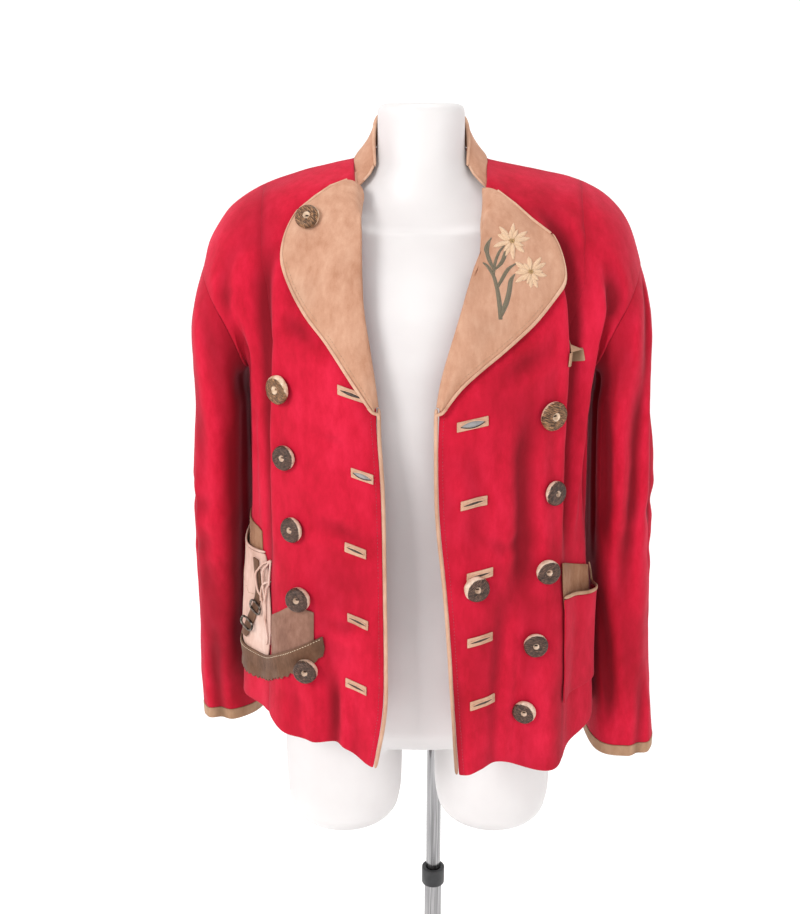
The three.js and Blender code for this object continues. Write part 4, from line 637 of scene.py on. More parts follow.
# an angle that no edge of a cord reaches, so that all of it is rounded
ROUND = 181
lapel, lapel_cord, front_edge = {}, {}, {}
for side in ("right", "left"):
    piece = cloth_of(f"lapel_{side}_suede", f"lapel_{side}", 3, sharp=80)
    if side == "left":
        bm = bmesh.new()
        bm.from_mesh(piece.data)
        rolled = [v for v in bm.verts if v.co.x < 0.076 and 1.195 < v.co.z < 1.262]
        for turn in range(10):
            bmesh.ops.smooth_vert(bm, verts=rolled, factor=0.5, use_axis_x=True, use_axis_y=True,
                                  use_axis_z=True)
        # the two walls of the hide part again where the roll is tightest
        bm.normal_update()
        for v in rolled:
            near_pinch = max(0, 1 - abs(v.co.z - 1.223) / 0.032) * max(0, 1 - abs(v.co.x - 0.06) / 0.02)
            v.co.y += 0.0016 * near_pinch * max(-0.3, v.normal.y)
        bm.to_mesh(piece.data)
        bm.free()
    draped(piece)
    lapel[side] = sew_on(piece, tan_suede, "tan_suede", "lapel_" + side)
    lapel_cord[side] = sewn_piece(f"lapel_{side}_piping", f"lapel_piping_{side}", 2, pale_binding,
                                  "tan_binding", sharp=ROUND, swell=0.0003)
collar = sew_on(cloth_of("collar_suede", "collar", 3, sharp=80), tan_suede, "tan_suede", "collar")
meet(collar, body_tree)
collar_edge = cloth_of("collar_rolled_edge", "collar_piping", 2, sharp=ROUND, swell=0.0007)
sew_on(collar_edge, pale_binding, "tan_binding", "collar_piping")
for side in ("right", "left"):
    front_edge[side] = sewn_piece(f"front_edge_{side}_binding", f"edge_{side}", 2, pale_binding,
                                  "tan_binding", sharp=ROUND, swell=0.0003)

# ---------------------------------------------------------------- stitches on collar, lapels and edges
# A row of short stitches in silk twist holds each piping, set four millimetres inside it. Where
# a cut edge has no piping, the hide is rolled over on itself.
STITCH_INSET, STITCH_STEP = 0.0042, 0.0038


def middle_of(bm):
    return sum((v.co for v in bm.verts), Vector()) / len(bm.verts)


def rim_of(node, keep, sharp=60):
    """The cut edge of a sewn piece in order, as places with their outward ways."""
    bm = quads_of(node)
    middle = middle_of(bm)
    near, ways = {}, {}
    for edge in bm.edges:
        if edge.calc_face_angle(0) < math.radians(sharp):
            continue
        for face in edge.link_faces:
            out = Vector((*face.calc_center_median().xy, 0.06)).normalized()
            outside = face.normal.dot(out) > 0.35 and face.calc_area() > 2e-5
            if outside and keep((edge.verts[0].co + edge.verts[1].co) / 2):
                a, b = (v.index for v in edge.verts)
                near.setdefault(a, []).append(b)
                near.setdefault(b, []).append(a)
                ways[a] = ways[b] = face.normal.copy()
                break
    places = {v.index: v.co.copy() for v in bm.verts}
    bm.free()
    rows = []
    left = set(near)
    while left:
        ends = [k for k in left if sum(n in left for n in near[k]) < 2] or [min(left)]
        k = min(ends)
        row = []
        while k is not None:
            row.append((places[k], ways[k]))
            left.discard(k)
            k = next((n for n in near[k] if n in left), None)
        if len(row) > 2:
            rows.append(row)
    return rows, middle


def evenly(points, step):
    """Places at an even distance along a path, each with the way it runs."""
    run = [0.0]
    for a, b in zip(points, points[1:]):
        run.append(run[-1] + (b - a).length)
    count = max(1, int(run[-1] / step))
    found = []
    k = 0
    for n in range(count):
        at = (n + 0.5) * run[-1] / count
        while run[k + 1] < at:
            k += 1
        a, b = points[k], points[k + 1]
        found.append((a.lerp(b, (at - run[k]) / (run[k + 1] - run[k])), (b - a).normalized()))
    return found


def stitch_row(bm, tree, places, long=0.0026, wide=0.0007, lift=0.0001):
    """Adds short stitches that lie on a surface, one at each place, with sizes in metres."""
    for place, way in places:
        hit = tree.find_nearest(place)
        if hit[0] is None or hit[3] > 0.012:
            continue
        up = hit[1]
        side = way.cross(up)
        if side.length < 0.2:  # the surface ends here
            continue
        side.normalize()
        turned = Matrix((side.cross(up), side, up)).transposed().to_4x4()
        size = Matrix.Diagonal((long / 2, wide / 2, wide / 2, 1))
        at = Matrix.Translation(hit[0] + up * lift)
        bmesh.ops.create_uvsphere(bm, u_segments=6, v_segments=4, radius=1, matrix=at @ turned @ size)


def thread_piece(name, bm, material, slot):
    """A small round-edged piece from its bmesh."""
    obj = placed(name, bm)
    shade_smooth(obj.data)
    return sew_on(obj, material, slot)


def rod(name, paths, radius):
    """Round cords along smooth paths, as one mesh."""
    curve = bpy.data.curves.new(name, "CURVE")
    curve.dimensions = "3D"
    curve.bevel_depth = radius
    curve.bevel_resolution = 2
    curve.use_fill_caps = True
    curve.resolution_u = 4
    for path in paths:
        spline = curve.splines.new("POLY")
        spline.points.add(len(path) - 1)
        for p, at in zip(spline.points, path):
            p.co = (*at, 1)
    made = bpy.data.objects.new(name, curve)
    scene.collection.objects.link(made)
    tree = bpy.context.evaluated_depsgraph_get()
    mesh = bpy.data.meshes.new_from_object(made.evaluated_get(tree))
    bpy.data.objects.remove(made)
    shade_smooth(mesh)
    obj = bpy.data.objects.new(name, mesh)
    scene.collection.objects.link(obj)
    return obj


def silk(name, colour):
    """Twisted silk thread, half bright."""
    material, nodes, link, shader = plain(name)
    dark, bright = tuple(c * 0.7 for c in colour), tuple(min(1, c * 1.15) for c in colour)
    tone = ramp_of(nodes, link, cloud_of(nodes, link, 420), ((0.35, dark), (0.65, bright)))
    link(tone, shader.inputs["Base Color"])
    set_up(shader, Roughness=0.5, Sheen_Weight=0.3)
    return material


tan_silk = silk("tan_silk", (0.40, 0.235, 0.135))
pale_silk = silk("pale_silk", (0.78, 0.62, 0.44))
for side in ("right", "left"):
    beside = skin([f"lapel_piping_{side}"])
    rows, middle = rim_of(f"lapel_{side}", lambda p: beside.find_nearest(p)[3] < 0.006)
    tree = tree_of(lapel[side])
    bm = bmesh.new()
    for row in rows:
        path = []
        for k, (p, n) in enumerate(row):
            way = (row[min(k + 1, len(row) - 1)][0] - row[max(k - 1, 0)][0]).normalized()
            into = way.cross(n).normalized()
            into = into if into.dot(middle - p) > 0 else -into
            path.append(p + into * STITCH_INSET)
        stitch_row(bm, tree, evenly(path, STITCH_STEP))
    thread_piece(f"lapel_{side}_stitches", bm, tan_silk, "tan_suede")
beside = skin(["collar_piping"])
rows, _ = rim_of("collar", lambda p: beside.find_nearest(p)[3] < 0.006)
tree = tree_of(collar)
bm = bmesh.new()
for row in rows:
    path = [p + Vector((0, 0, -STITCH_INSET)) for p, n in row]
    stitch_row(bm, tree, evenly(path, STITCH_STEP))
thread_piece("collar_stitches", bm, tan_silk, "tan_suede")


def middle_at(points, z, up=1):
    """The middle of a 4 mm slice of a cord, from a height upwards or down."""
    height = (points[:, 2] - z) * up
    return points[(height > 0) & (height < 0.004)].mean(0)


for side in ("right", "left"):
    # the piping bends into the front edge's binding at the lapel's foot
    cord, band = points_of(lapel_cord[side]), points_of(front_edge[side])
    foot, head = cord[:, 2].min(), band[:, 2].max()
    ends = [middle_at(cord, low) for low in (foot + 0.006, foot)]
    ends += [middle_at(band, high, -1) for high in (head - 0.003, head - 0.012)]
    ends = [Vector(p) + Vector((p[0], p[1], 0)).normalized() * 0.0006 for p in ends]
    bend = [ends[0], ends[1].lerp(ends[2], 0.12), ends[1].lerp(ends[2], 0.5) + Vector((0, 0, -0.0015)),
            ends[2].lerp(ends[3], 0.35), ends[3]]
    for turn in range(3):
        cornerless = [p for a, b in zip(bend, bend[1:]) for p in (a.lerp(b, 0.25), a.lerp(b, 0.75))]
        bend = [bend[0]] + cornerless + [bend[-1]]
    sew_on(rod(f"lapel_{side}_tip_rim", [bend], 0.0021), pale_binding, "tan_binding")
for node, piece, cord, keep, radius in (
    ("lapel_right", lapel["right"], "lapel_piping_right", lambda p: p.z > 1.235 and p.x < -0.08, 0.0016),
    ("lapel_left", lapel["left"], "lapel_piping_left", lambda p: p.z > 1.225 and p.x > 0.083, 0.0016),
    ("collar", collar, "collar_piping", lambda p: p.y < -0.015, 0.0015),
):
    beside = skin([cord])
    near = tree_of(piece)
    rows, _ = rim_of(node, lambda p: keep(p) and beside.find_nearest(p)[3] > 0.002)
    paths = []
    for row in rows:
        points = [p for p, n in row]
        if beside.find_nearest(points[0])[3] < beside.find_nearest(points[-1])[3]:
            points.reverse()
        points = np.array([p[:] for p in points + [beside.find_nearest(points[-1])[0]]])
        if node != "collar":
            points += body_drape(points)[0]
        paths.append([near.find_nearest(Vector(p))[0] for p in points])
    sew_on(rod(node + "_rolled_rim", paths, radius), pale_binding, "tan_binding")
red_silk = silk("red_silk", (0.30, 0.01, 0.03))
for side in ("right", "left"):
    beside = skin([f"edge_{side}"])
    rows, _ = rim_of(f"front_{side}", lambda p: beside.find_nearest(p)[3] < 0.005)
    tree = tree_of(panel[f"front_{side}"])
    bm = bmesh.new()
    for row in rows:
        path = [p + Vector((-0.0052 if side == "right" else 0.0052, 0, 0)) for p, n in row]
        shift, _ = body_drape(np.array([p[:] for p in path]))
        path = [p + Vector(d) for p, d in zip(path, shift)]
        stitch_row(bm, tree, evenly(path, 0.0042), wide=0.0006)
    thread_piece(f"front_edge_{side}_stitches", bm, red_silk, "red_suede")

# ---------------------------------------------------------------- flower embroidery
# Two pale mountain flowers with pointed petals, their stems and leaves, worked in satin stitch
# with silk on the wearer's left lapel.
lapel_tree = tree_of(lapel["left"])


def on_lapel(x, z, lift):
    """The place on the lapel behind a point in front of it, in mm."""
    hit = lapel_tree.ray_cast(Vector((x / 1000, -0.5, z / 1000)), Vector((0, 1, 0)))
    return (hit[0] + hit[1] * lift / 1000) if hit[0] is not None else None


def satin(name, colour, dark):
    """Satin stitch: fine silk threads side by side, raised in stripes, with the light they catch painted on
    in the same stripes.
    """
    material, nodes, link, shader = plain(name)
    uv = nodes.new("ShaderNodeUVMap")
    uv.uv_map = "thread"
    lines = set_up(nodes.new("ShaderNodeTexWave"), Scale=7, Distortion=1.2, Detail=2)
    link(uv.outputs["UV"], lines.inputs["Vector"])
    tone = ramp_of(nodes, link, lines.outputs["Fac"], ((0.1, dark), (0.7, colour)))
    link(tone, shader.inputs["Base Color"])
    relief_by(nodes, link, shader, lines.outputs["Fac"], 0.36, 0.0004)
    set_up(shader, Roughness=0.42, Sheen_Weight=0.35)
    return material


petal_silk = satin("petal_silk", (0.80, 0.56, 0.37), (0.52, 0.31, 0.17))
heart_silk = satin("heart_silk", (0.60, 0.38, 0.14), (0.36, 0.2, 0.06))
leaf_silk = satin("leaf_silk", (0.17, 0.135, 0.075), (0.075, 0.056, 0.03))


# the rounded top of a satin shape: share of its half width, share of its rise
SATIN_SECTION = ((-1, -0.25), (-0.6, 0.75), (0, 1), (0.6, 0.75), (1, -0.25))


def worked(bm, line, widths, rise, uv):
    """A raised satin shape along a line in front of the lapel, in mm, with its width at each point."""
    count = len(line)
    rows = []
    for k, (x, z) in enumerate(line):
        ax, az = line[max(0, k - 1)]
        bx, bz = line[min(count - 1, k + 1)]
        length = math.hypot(bx - ax, bz - az)
        nx, nz = -(bz - az) / length, (bx - ax) / length
        w = max(widths[k], 0.15) / 2
        rows.append([on_lapel(x + nx * w * t, z + nz * w * t, rise * h) for t, h in SATIN_SECTION])
    if any(p is None for row in rows for p in row):
        return
    verts = [[bm.verts.new(p) for p in row] for row in rows]
    for k in range(count - 1):
        for j in range(4):
            corners = ((k, j), (k, j + 1), (k + 1, j + 1), (k + 1, j))
            face = bm.faces.new([verts[r][c] for r, c in corners])
            for loop, (r, c) in zip(face.loops, corners):
                loop[uv].uv = (c / 4, r / (count - 1) * 0.6)
    under = [bm.faces.new((a[4], a[0], b[0], b[4])) for a, b in zip(verts, verts[1:])]
    ends = [bm.faces.new(verts[0][::-1]), bm.faces.new(verts[-1])]
    for face in under + ends:
        for loop in face.loops:
            loop[uv].uv = (0.5, 0.5)


def silk_piece(name, draw, material):
    bm = bmesh.new()
    uv = bm.loops.layers.uv.new("thread")
    draw(bm, uv)
    bmesh.ops.recalc_face_normals(bm, faces=bm.faces)
    return thread_piece(name, bm, material, "tan_suede")


# the middle of each flower, across and up in mm, its reach, and the turn of its first petal
FLOWERS = ((100, 1251, 20.5, 0.2), (121, 1218, 20.0, 0.5))
# two layers of petals: how many, their share of the reach, width and rise in mm
PETAL_LAYERS = ((9, 1.0, 6.4, 0.9), (8, 0.7, 5.4, 1.7))


def petals(bm, uv):
    for cx, cz, reach, start in FLOWERS:
        for layer, (count, long, wide, rise) in enumerate(PETAL_LAYERS):
            for k in range(count):
                turn = start + (k + 0.5 * layer) * 2 * math.pi / count + 0.16 * math.sin(k * 2.3 + cx)
                size = reach * long * (0.86 + 0.2 * abs(math.sin(k * 1.7 + cz)))
                bend = 0.22 * math.sin(k * 3.1)
                line = []
                for t in (0.1, 0.3, 0.52, 0.74, 0.9, 1.0):
                    way = turn + bend * t
                    line.append((cx + size * t * math.sin(way), cz + size * t * math.cos(way) * 0.92))
                worked(bm, line, [wide * f for f in (0.35, 0.75, 1, 0.85, 0.5, 0.1)], rise, uv)


def hearts(bm, uv):
    for cx, cz, *_ in FLOWERS:
        for k in range(7):
            turn = k * 2 * math.pi / 7
            x, z = cx + 2.0 * math.sin(turn) * (k > 0), cz + 2.0 * math.cos(turn) * (k > 0)
            knot = [(x - 1.1, z), (x - 0.5, z + 0.1), (x + 0.5, z + 0.1), (x + 1.1, z)]
            worked(bm, knot, (0.6, 1.9, 1.9, 0.6), 2.6, uv)


# stems and leaves: places across and up in mm, and the width at each
STEMS = (
    (((87, 1168), (86, 1184), (83, 1202), (79, 1216), (72, 1226), (67, 1229)),
     (3.6, 4.4, 3.6, 3, 2.6, 1.2)),
    (((87, 1172), (93, 1184), (97, 1198), (98, 1210), (103, 1216)), (4.2, 5, 4.6, 4.2, 1.2)),
    (((83, 1202), (89, 1212), (95, 1222), (104, 1227)), (2.4, 3.4, 3.4, 1.2)),
    (((79, 1216), (80, 1228), (85, 1240), (91, 1246)), (2.4, 2.8, 2.6, 1.6)),
    (((81, 1222), (88, 1228), (92, 1236), (92, 1243)), (1.8, 3.6, 3.8, 1)),
    (((79, 1222), (74, 1232), (71, 1241), (75, 1251)), (2.2, 3.8, 3.6, 1.2)),
    (((73, 1236), (69, 1243), (73, 1250), (77, 1255)), (1.4, 3.0, 2.6, 1)),
)


def stems(bm, uv):
    for line, widths in STEMS:
        marks = np.arange(len(line))
        at = np.append((marks[:-1, None] + (0, 0.34, 0.67)).ravel(), marks[-1])
        fine = [tuple(np.interp(t, marks, side) for side in zip(*line)) for t in at]
        for turn in range(2):
            eased = [tuple((a + 2 * b + c) / 4 for a, b, c in zip(*three))
                     for three in zip(fine, fine[1:], fine[2:])]
            fine = [fine[0]] + eased + [fine[-1]]
        worked(bm, fine, np.interp(at, marks, widths) * 1.4, 0.8, uv)


silk_piece("lapel_stems", stems, leaf_silk)
silk_piece("lapel_petals", petals, petal_silk)
silk_piece("lapel_flower_hearts", hearts, heart_silk)

# ---------------------------------------------------------------- buttonholes
# Ten bound buttonholes: a small frame of tan suede sewn flat on the front, with two rolled
# lips that meet over a slit filled with painted shade. The uppermost ones gape, and grey lining
# shows in two of them.
# a dark sheet of painted shade, for slits and openings
painted_slit_shade, nodes, link, shader = plain("painted_slit_shade")
shade = cloud_of(nodes, link, 300)
shade = ramp_of(nodes, link, shade, ((0.3, (0.03, 0.02, 0.017)), (0.7, (0.09, 0.065, 0.055))))
link(shade, shader.inputs["Base Color"])
set_up(shader, Roughness=0.9)
lining_grey = suede("lining_grey", (0.20, 0.19, 0.19), (0.30, 0.29, 0.29), (0.38, 0.37, 0.37),
                    (0.2, 0.2, 0.2))
# half the opening of each hole that gapes, in metres, and of a shut one; the lining shows in one
# that opens past OPEN, and a lip is a cord of this radius
GAPE = {"buttonhole_left_1": 0.0035, "buttonhole_right_2": 0.0026, "buttonhole_right_1": 0.0016}
SHUT, OPEN = 0.0011, 0.002
LIP = 0.0008


def lie_of(points):
    """The middle, long way, cross way and outward way of a small flat piece."""
    middle = points.mean(0)
    ways = np.linalg.svd(points - middle, full_matrices=False)[2]
    long, out = Vector(ways[0]), Vector(ways[2])
    middle = Vector(middle)
    out = out if out.dot(Vector((middle.x, middle.y, 0))) > 0 else -out
    long = long if long.x > 0 else -long
    return middle, long, out.cross(long), out


def thickened(bm, face, way):
    """Gives a flat face a thickness."""
    made = bmesh.ops.extrude_face_region(bm, geom=[face])["geom"]
    bmesh.ops.translate(bm, vec=way, verts=[v for v in made if isinstance(v, bmesh.types.BMVert)])
    bmesh.ops.recalc_face_normals(bm, faces=bm.faces)


def half_size(points, middle, way):
    return max(abs((Vector(p) - middle).dot(way)) for p in points)


for side in ("right", "left"):
    for k in range(1, 6):
        name = f"buttonhole_{side}_{k}"
        frame_piece = sewn_piece(name + "_frame", name, 2, pale_binding, "tan_binding")
        points = points_of(frame_piece)
        middle, long, cross, out = lie_of(points)
        half, high = half_size(points, middle, long), half_size(points, middle, cross)
        tree = tree_of(frame_piece)

        def laid(s, t, lift):
            """A place on the frame, along and across it."""
            flat = middle + long * s + cross * t
            hit = tree.ray_cast(flat + out * 0.02, -out)
            return (hit[0] if hit[0] is not None else flat) + out * lift

        gape = GAPE.get(name, SHUT)
        upper, lower = (
            [laid(half * 0.72 * s, sign * gape * (1 - s * s), 0.0004) for s in np.linspace(-1, 1, 15)]
            for sign in (1, -1)
        )
        lips = [[p + cross * 0.0009 for p in upper], [p - cross * 0.0009 for p in lower]]
        sew_on(rod(name + "_lips", lips, LIP), pale_binding, "tan_binding")
        bm = bmesh.new()
        # the slit is a dark sheet of painted shade; where the hole gapes wide, grey lining shows instead
        # and a dark cord of painted shade lies along the lower lip
        slit = bm.faces.new([bm.verts.new(p) for p in upper + lower[-2:0:-1]])
        thickened(bm, slit, out * 0.0004)
        thread_piece(name + "_slit", bm, lining_grey if gape > OPEN else painted_slit_shade, "tan_binding")
        if gape > OPEN:
            low = [p + out * 0.0003 for p in lower]
            sew_on(rod(name + "_shade", [low], 0.0007), painted_slit_shade, "tan_binding")
        bm = bmesh.new()
        ring = [middle + long * (half - 0.0022) * s + cross * (high - 0.0035) * t
                for s, t in ((-1, -1), (1, -1), (1, 1), (-1, 1))]
        for a, b in zip(ring, ring[1:] + ring[:1]):
            stitch_row(bm, tree, evenly([a, b], 0.0026), long=0.0017, wide=0.0005)
        thread_piece(name + "_stitches", bm, tan_silk, "tan_binding")

# ---------------------------------------------------------------- buttons
# Round slices of stag antler. The dark streaked bark shows over most of the face; at the upper
# edge the slice runs out of the bark into cream bone. Two holes and a thread sit in a hollow.
def horn(name, bark, streak, bone, bone_dark):
    material, nodes, link, shader = plain(name)
    uv = nodes.new("ShaderNodeUVMap")
    uv.uv_map = "slice"
    stretched = set_up(nodes.new("ShaderNodeMapping"), Scale=(3.5, 30, 1), Rotation=(0, 0, 0.18))
    link(uv.outputs["UV"], stretched.inputs["Vector"])
    # no two slices have the same streaks: the place on the body shifts them
    mixed = nodes.new("ShaderNodeVectorMath")
    mixed.operation = "MULTIPLY_ADD"
    mixed.inputs[1].default_value = (12, 12, 12)
    link(nodes.new("ShaderNodeTexCoord").outputs["Object"], mixed.inputs[0])
    link(stretched.outputs["Vector"], mixed.inputs[2])
    grain = cloud_of(nodes, link, 1, 5, 0.65, mixed.outputs["Vector"])
    pale_streak = tuple(c * 2.6 for c in streak)
    bark_tone = ramp_of(nodes, link, grain, ((0.44, bark), (0.56, streak), (0.66, pale_streak)))
    bone_tone = ramp_of(nodes, link, cloud_of(nodes, link, 190, 3), ((0.3, bone_dark), (0.6, bone)))
    mask = nodes.new("ShaderNodeAttribute")
    mask.attribute_name = "bone"
    ragged = nodes.new("ShaderNodeMath")
    ragged.operation = "MULTIPLY_ADD"
    ragged.inputs[1].default_value = 0.5
    link(grain, ragged.inputs[0])
    link(mask.outputs["Fac"], ragged.inputs[2])
    sharp = set_up(nodes.new("ShaderNodeMapRange"), From_Min=0.68, From_Max=0.80)
    link(ragged.outputs[0], sharp.inputs["Value"])
    over = nodes.new("ShaderNodeMix")
    over.data_type = "RGBA"
    link(sharp.outputs["Result"], over.inputs[0])
    link(bark_tone, over.inputs[6])
    link(bone_tone, over.inputs[7])
    link(over.outputs[2], shader.inputs["Base Color"])
    relief_by(nodes, link, shader, grain, 0.6, 0.0006)
    set_up(shader, Roughness=0.44, Specular_IOR_Level=0.3)
    return material


dark_horn = horn("dark_horn", (0.016, 0.008, 0.006), (0.10, 0.052, 0.036), (0.72, 0.55, 0.43),
                 (0.50, 0.33, 0.23))
brown_horn = horn("brown_horn", (0.035, 0.016, 0.008), (0.25, 0.125, 0.058), (0.74, 0.57, 0.42),
                  (0.46, 0.28, 0.16))
# the thread holes are dark cones of painted shade
painted_hole_shade, _, _, shader = plain("painted_hole_shade")
set_up(shader, Base_Color=(0.012, 0.008, 0.007, 1), Roughness=0.8)
cream_silk = silk("cream_silk", (0.80, 0.66, 0.50))
# each button: which way its bone edge lies (degrees, 90 is up), how much bone shows, browner or not
SLICES = {
    "button_right_1": (75, 0.22, True),
    "button_right_2": (20, 0.07, False),
    "button_right_3": (35, 0.09, False),
    "button_right_4": (25, 0.08, False),
    "button_right_5": (40, 0.08, False),
    "button_left_1": (110, 0.02, True),
    "button_left_2": (130, 0.06, False),
    "button_left_3": (115, 0.20, False),
    "button_left_4": (100, 0.10, False),
    "button_left_5": (45, 0.30, False),
    "button_left_inner": (140, 0.28, False),
    "button_lapel": (40, 0.08, True),
}
# half the section of a slice, from the middle of its face round to the middle of its back:
# shares of its radius and of half its thickness
PROFILE = (
    (0.0, 0.10), (0.12, 0.12), (0.19, 0.32), (0.26, 0.86), (0.34, 1.0), (0.46, 1.04),
    (0.58, 1.03), (0.70, 0.99), (0.80, 0.92), (0.88, 0.8), (0.95, 0.6),
    (1.0, 0.2), (0.98, -0.45), (0.86, -0.9), (0.5, -1.0), (0.0, -1.0),
)
# the thread holes: how far each lies from the middle, how high above it, and their radius
HOLE_APART, HOLE_UP, HOLE_RADIUS = 0.095, 0.03, 0.062
for name, (angle, share, brown) in SLICES.items():
    solid = points_of(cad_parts[name])
    middle, _, _, out = lie_of(solid)
    right = Vector((0, 0, 1)).cross(out).normalized()
    up = out.cross(right)
    wide, tall, thick = (half_size(solid, middle, way) for way in (right, up, out))
    shift, _ = body_drape(np.array([middle[:]]))
    middle = middle + Vector(shift[0])
    bm = bmesh.new()
    line = [bm.verts.new((r, 0, h)) for r, h in PROFILE]
    edges = [bm.edges.new(pair) for pair in zip(line, line[1:])]
    bmesh.ops.spin(bm, geom=line + edges, axis=(0, 0, 1), cent=(0, 0, 0), steps=40, angle=math.tau,
                   use_merge=True)
    bmesh.ops.remove_doubles(bm, verts=bm.verts, dist=1e-4)
    bmesh.ops.recalc_face_normals(bm, faces=bm.faces)
    seed = sum(map(ord, name))
    bone = bm.verts.layers.float.new("bone")
    slant = math.radians(angle)
    uv = bm.loops.layers.uv.new("slice")
    for v in bm.verts:
        x, y, h = v.co
        r = math.hypot(x, y)
        past = math.hypot(x + math.cos(slant) * (share + 0.05), y + math.sin(slant) * (share + 0.05)) - 1.05
        rough = noise.noise(Vector((x * 2.2, y * 2.2, seed)))
        v[bone] = min(1, max(0, 0.45 + past * 3.2 + 0.25 * (h < 0.0)))
        if r < 0.3 and h > -0.2:
            v[bone] = 0.75 if brown or r < 0.2 else 0.45
        if h > 0.15 and past > 0:
            v.co.z -= past * 1.2
        v.co.x *= 1 + 0.03 * rough
        v.co.y *= 1 + 0.03 * noise.noise(Vector((seed, x * 2, y * 2)))
        if r > 0.3 and h > 0.15:
            v.co.z += 0.10 * noise.noise(Vector((x * 3 + seed, y * 9, 1)))
    turn = Matrix.Rotation(-slant * 0.35 + seed % 5 * 0.25, 2)
    for face in bm.faces:
        for loop in face.loops:
            loop[uv].uv = turn @ loop.vert.co.xy
    place = Matrix((right, up, out)).transposed().to_4x4()
    place = Matrix.Translation(middle) @ place @ Matrix.Diagonal((wide, tall, thick * 0.94, 1))
    # each thread hole: a dark cone of painted shade in the hollow
    for h in (-1, 1):
        bmesh.ops.create_cone(bm, cap_ends=True, segments=10, radius1=HOLE_RADIUS, radius2=HOLE_RADIUS,
                              depth=0.05, matrix=Matrix.Translation((HOLE_APART * h, HOLE_UP, 0.13)))
    for face in bm.faces:
        beside = max(abs(abs(v.co.x) - HOLE_APART) for v in face.verts)
        above = max(abs(v.co.y - HOLE_UP) for v in face.verts)
        if max(beside, above) < 0.07 and all(0.1 < v.co.z < 0.17 for v in face.verts):
            face.material_index = 1
    for h in (-1, 1):
        at = Matrix.Translation((0, HOLE_UP + 0.028 * h, 0.26)) @ Matrix.Diagonal((0.15, 0.028, 0.12, 1))
        made = bmesh.ops.create_uvsphere(bm, u_segments=8, v_segments=6, radius=1, matrix=at)
        for v in made["verts"]:
            for face in v.link_faces:
                face.material_index = 2
    bmesh.ops.transform(bm, matrix=place, verts=bm.verts)
    button = thread_piece(name + "_slice", bm, brown_horn if brown else dark_horn, "horn")
    button.data.materials.append(painted_hole_shade)
    button.data.materials.append(cream_silk)
    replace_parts(button, name)

# ---------------------------------------------------------------- breast pocket welt
# A short tan welt of folded suede, set into the left princess seam, with a corner of its facing
# turned out above it and the slit of the pocket between the two, a dark patch of painted shade.
welt = sewn_piece("breast_welt_suede", "breast_welt", 2, tan_binding, "tan_suede")


def on_cloth(tree, turn, z, lift):
    """A place on the outside of the cloth, round the body in degrees and up in mm."""
    way = Vector((math.sin(math.radians(turn)), -math.cos(math.radians(turn)), 0))
    hit = tree.ray_cast(way * 0.5 + Vector((0, 0, z / 1000)), -way)
    return hit[0] + way * lift / 1000


def flat_patch(name, corners, material, slot, thick):
    """A small cut piece of suede that lies on the body, thin and with round edges."""
    bm = bmesh.new()
    face = bm.faces.new([bm.verts.new(on_cloth(body_tree, *c)) for c in corners])
    thickened(bm, face, Vector((*middle_of(bm).xy, 0)).normalized() * thick)
    bmesh.ops.bevel(bm, geom=list(bm.edges), offset=0.0004, segments=2, profile=0.5, material=-1,
                    affect="EDGES")
    thread_piece(name, bm, material, slot)


points = points_of(welt)
edge_turn = turn_of(points[points[:, 2] > points[:, 2].max() - 0.006])
first, last = edge_turn.min(), edge_turn.max()
foot = points[:, 2].max() * 1000 - 2
corner = ((first + 4.6, foot + 17, 0.8), (first + 2.4, foot + 9, 0.8), (first + 2.0, foot, 1.2),
          (last - 0.2, foot, 1.2), (first + 5.2, foot + 5, 0.8))
slit = ((first + 3.2, foot + 6, 2.0), (first + 2.6, foot + 1, 2.2), (last - 0.8, foot + 1, 2.2),
        (first + 4.6, foot + 3, 2.0))
flat_patch("breast_welt_corner", corner, tan_binding, "tan_suede", 0.0012)
# the slit: a thin dark patch of painted shade
flat_patch("breast_welt_slit", slit, painted_slit_shade, "tan_suede", 0.0005)

# ---------------------------------------------------------------- left pocket
# A patch pocket of the red suede that gapes at the top. Its mouth is bound with tan suede, and
# a tan facing is sewn on the side panel behind it.
pocket_left = sewn_piece("pocket_left_suede", "pocket_left", 3, red_suede, "red_suede")
facing_suede = suede("facing_suede", (0.20, 0.09, 0.045), (0.31, 0.15, 0.08), (0.40, 0.22, 0.13),
                     (0.24, 0.12, 0.06), blotch=40, stroke=170, sheen=0.1)
pocket_left_facing = sewn_piece("pocket_left_facing", "pocket_left_backing", 3, facing_suede, "tan_suede")
pocket_left_edge = sewn_piece("pocket_left_rolled_edge", "pocket_left_binding", 2, tan_binding,
                              "tan_binding", sharp=ROUND)

# ---------------------------------------------------------------- right pocket
# A tan patch pocket with a rolled mouth, a pieced upper corner, a brown pinked band along its
# foot, a small flap beside it, and a strap with two buckles laced on with thongs.
brown_suede = suede("brown_suede", (0.065, 0.028, 0.014), (0.12, 0.056, 0.031), (0.18, 0.09, 0.054),
                    (0.2, 0.11, 0.07), blotch=40, stroke=200, sheen=0.1, wear=0.5)
pocket_suede = suede("pocket_suede", (0.15, 0.068, 0.045), (0.23, 0.112, 0.078), (0.31, 0.17, 0.125),
                     (0.34, 0.2, 0.14), blotch=40, stroke=200, sheen=0.1, wear=0.3)
rose_suede = suede("rose_suede", (0.50, 0.30, 0.235), (0.63, 0.42, 0.345), (0.72, 0.53, 0.46),
                   (0.46, 0.25, 0.19), blotch=30, stroke=170, sheen=0.12, wear=0.2)


def upright(points):
    """Each point's turn round the body, and its share of the way up its piece there."""
    turn = turn_of(points)
    bins = np.round(turn * 1.2).astype(int)
    share = np.zeros(len(points))
    for b in np.unique(bins):
        here = bins == b
        low, high = points[here, 2].min(), points[here, 2].max()
        share[here] = (points[here, 2] - low) / max(high - low, 1e-4)
    return turn, share


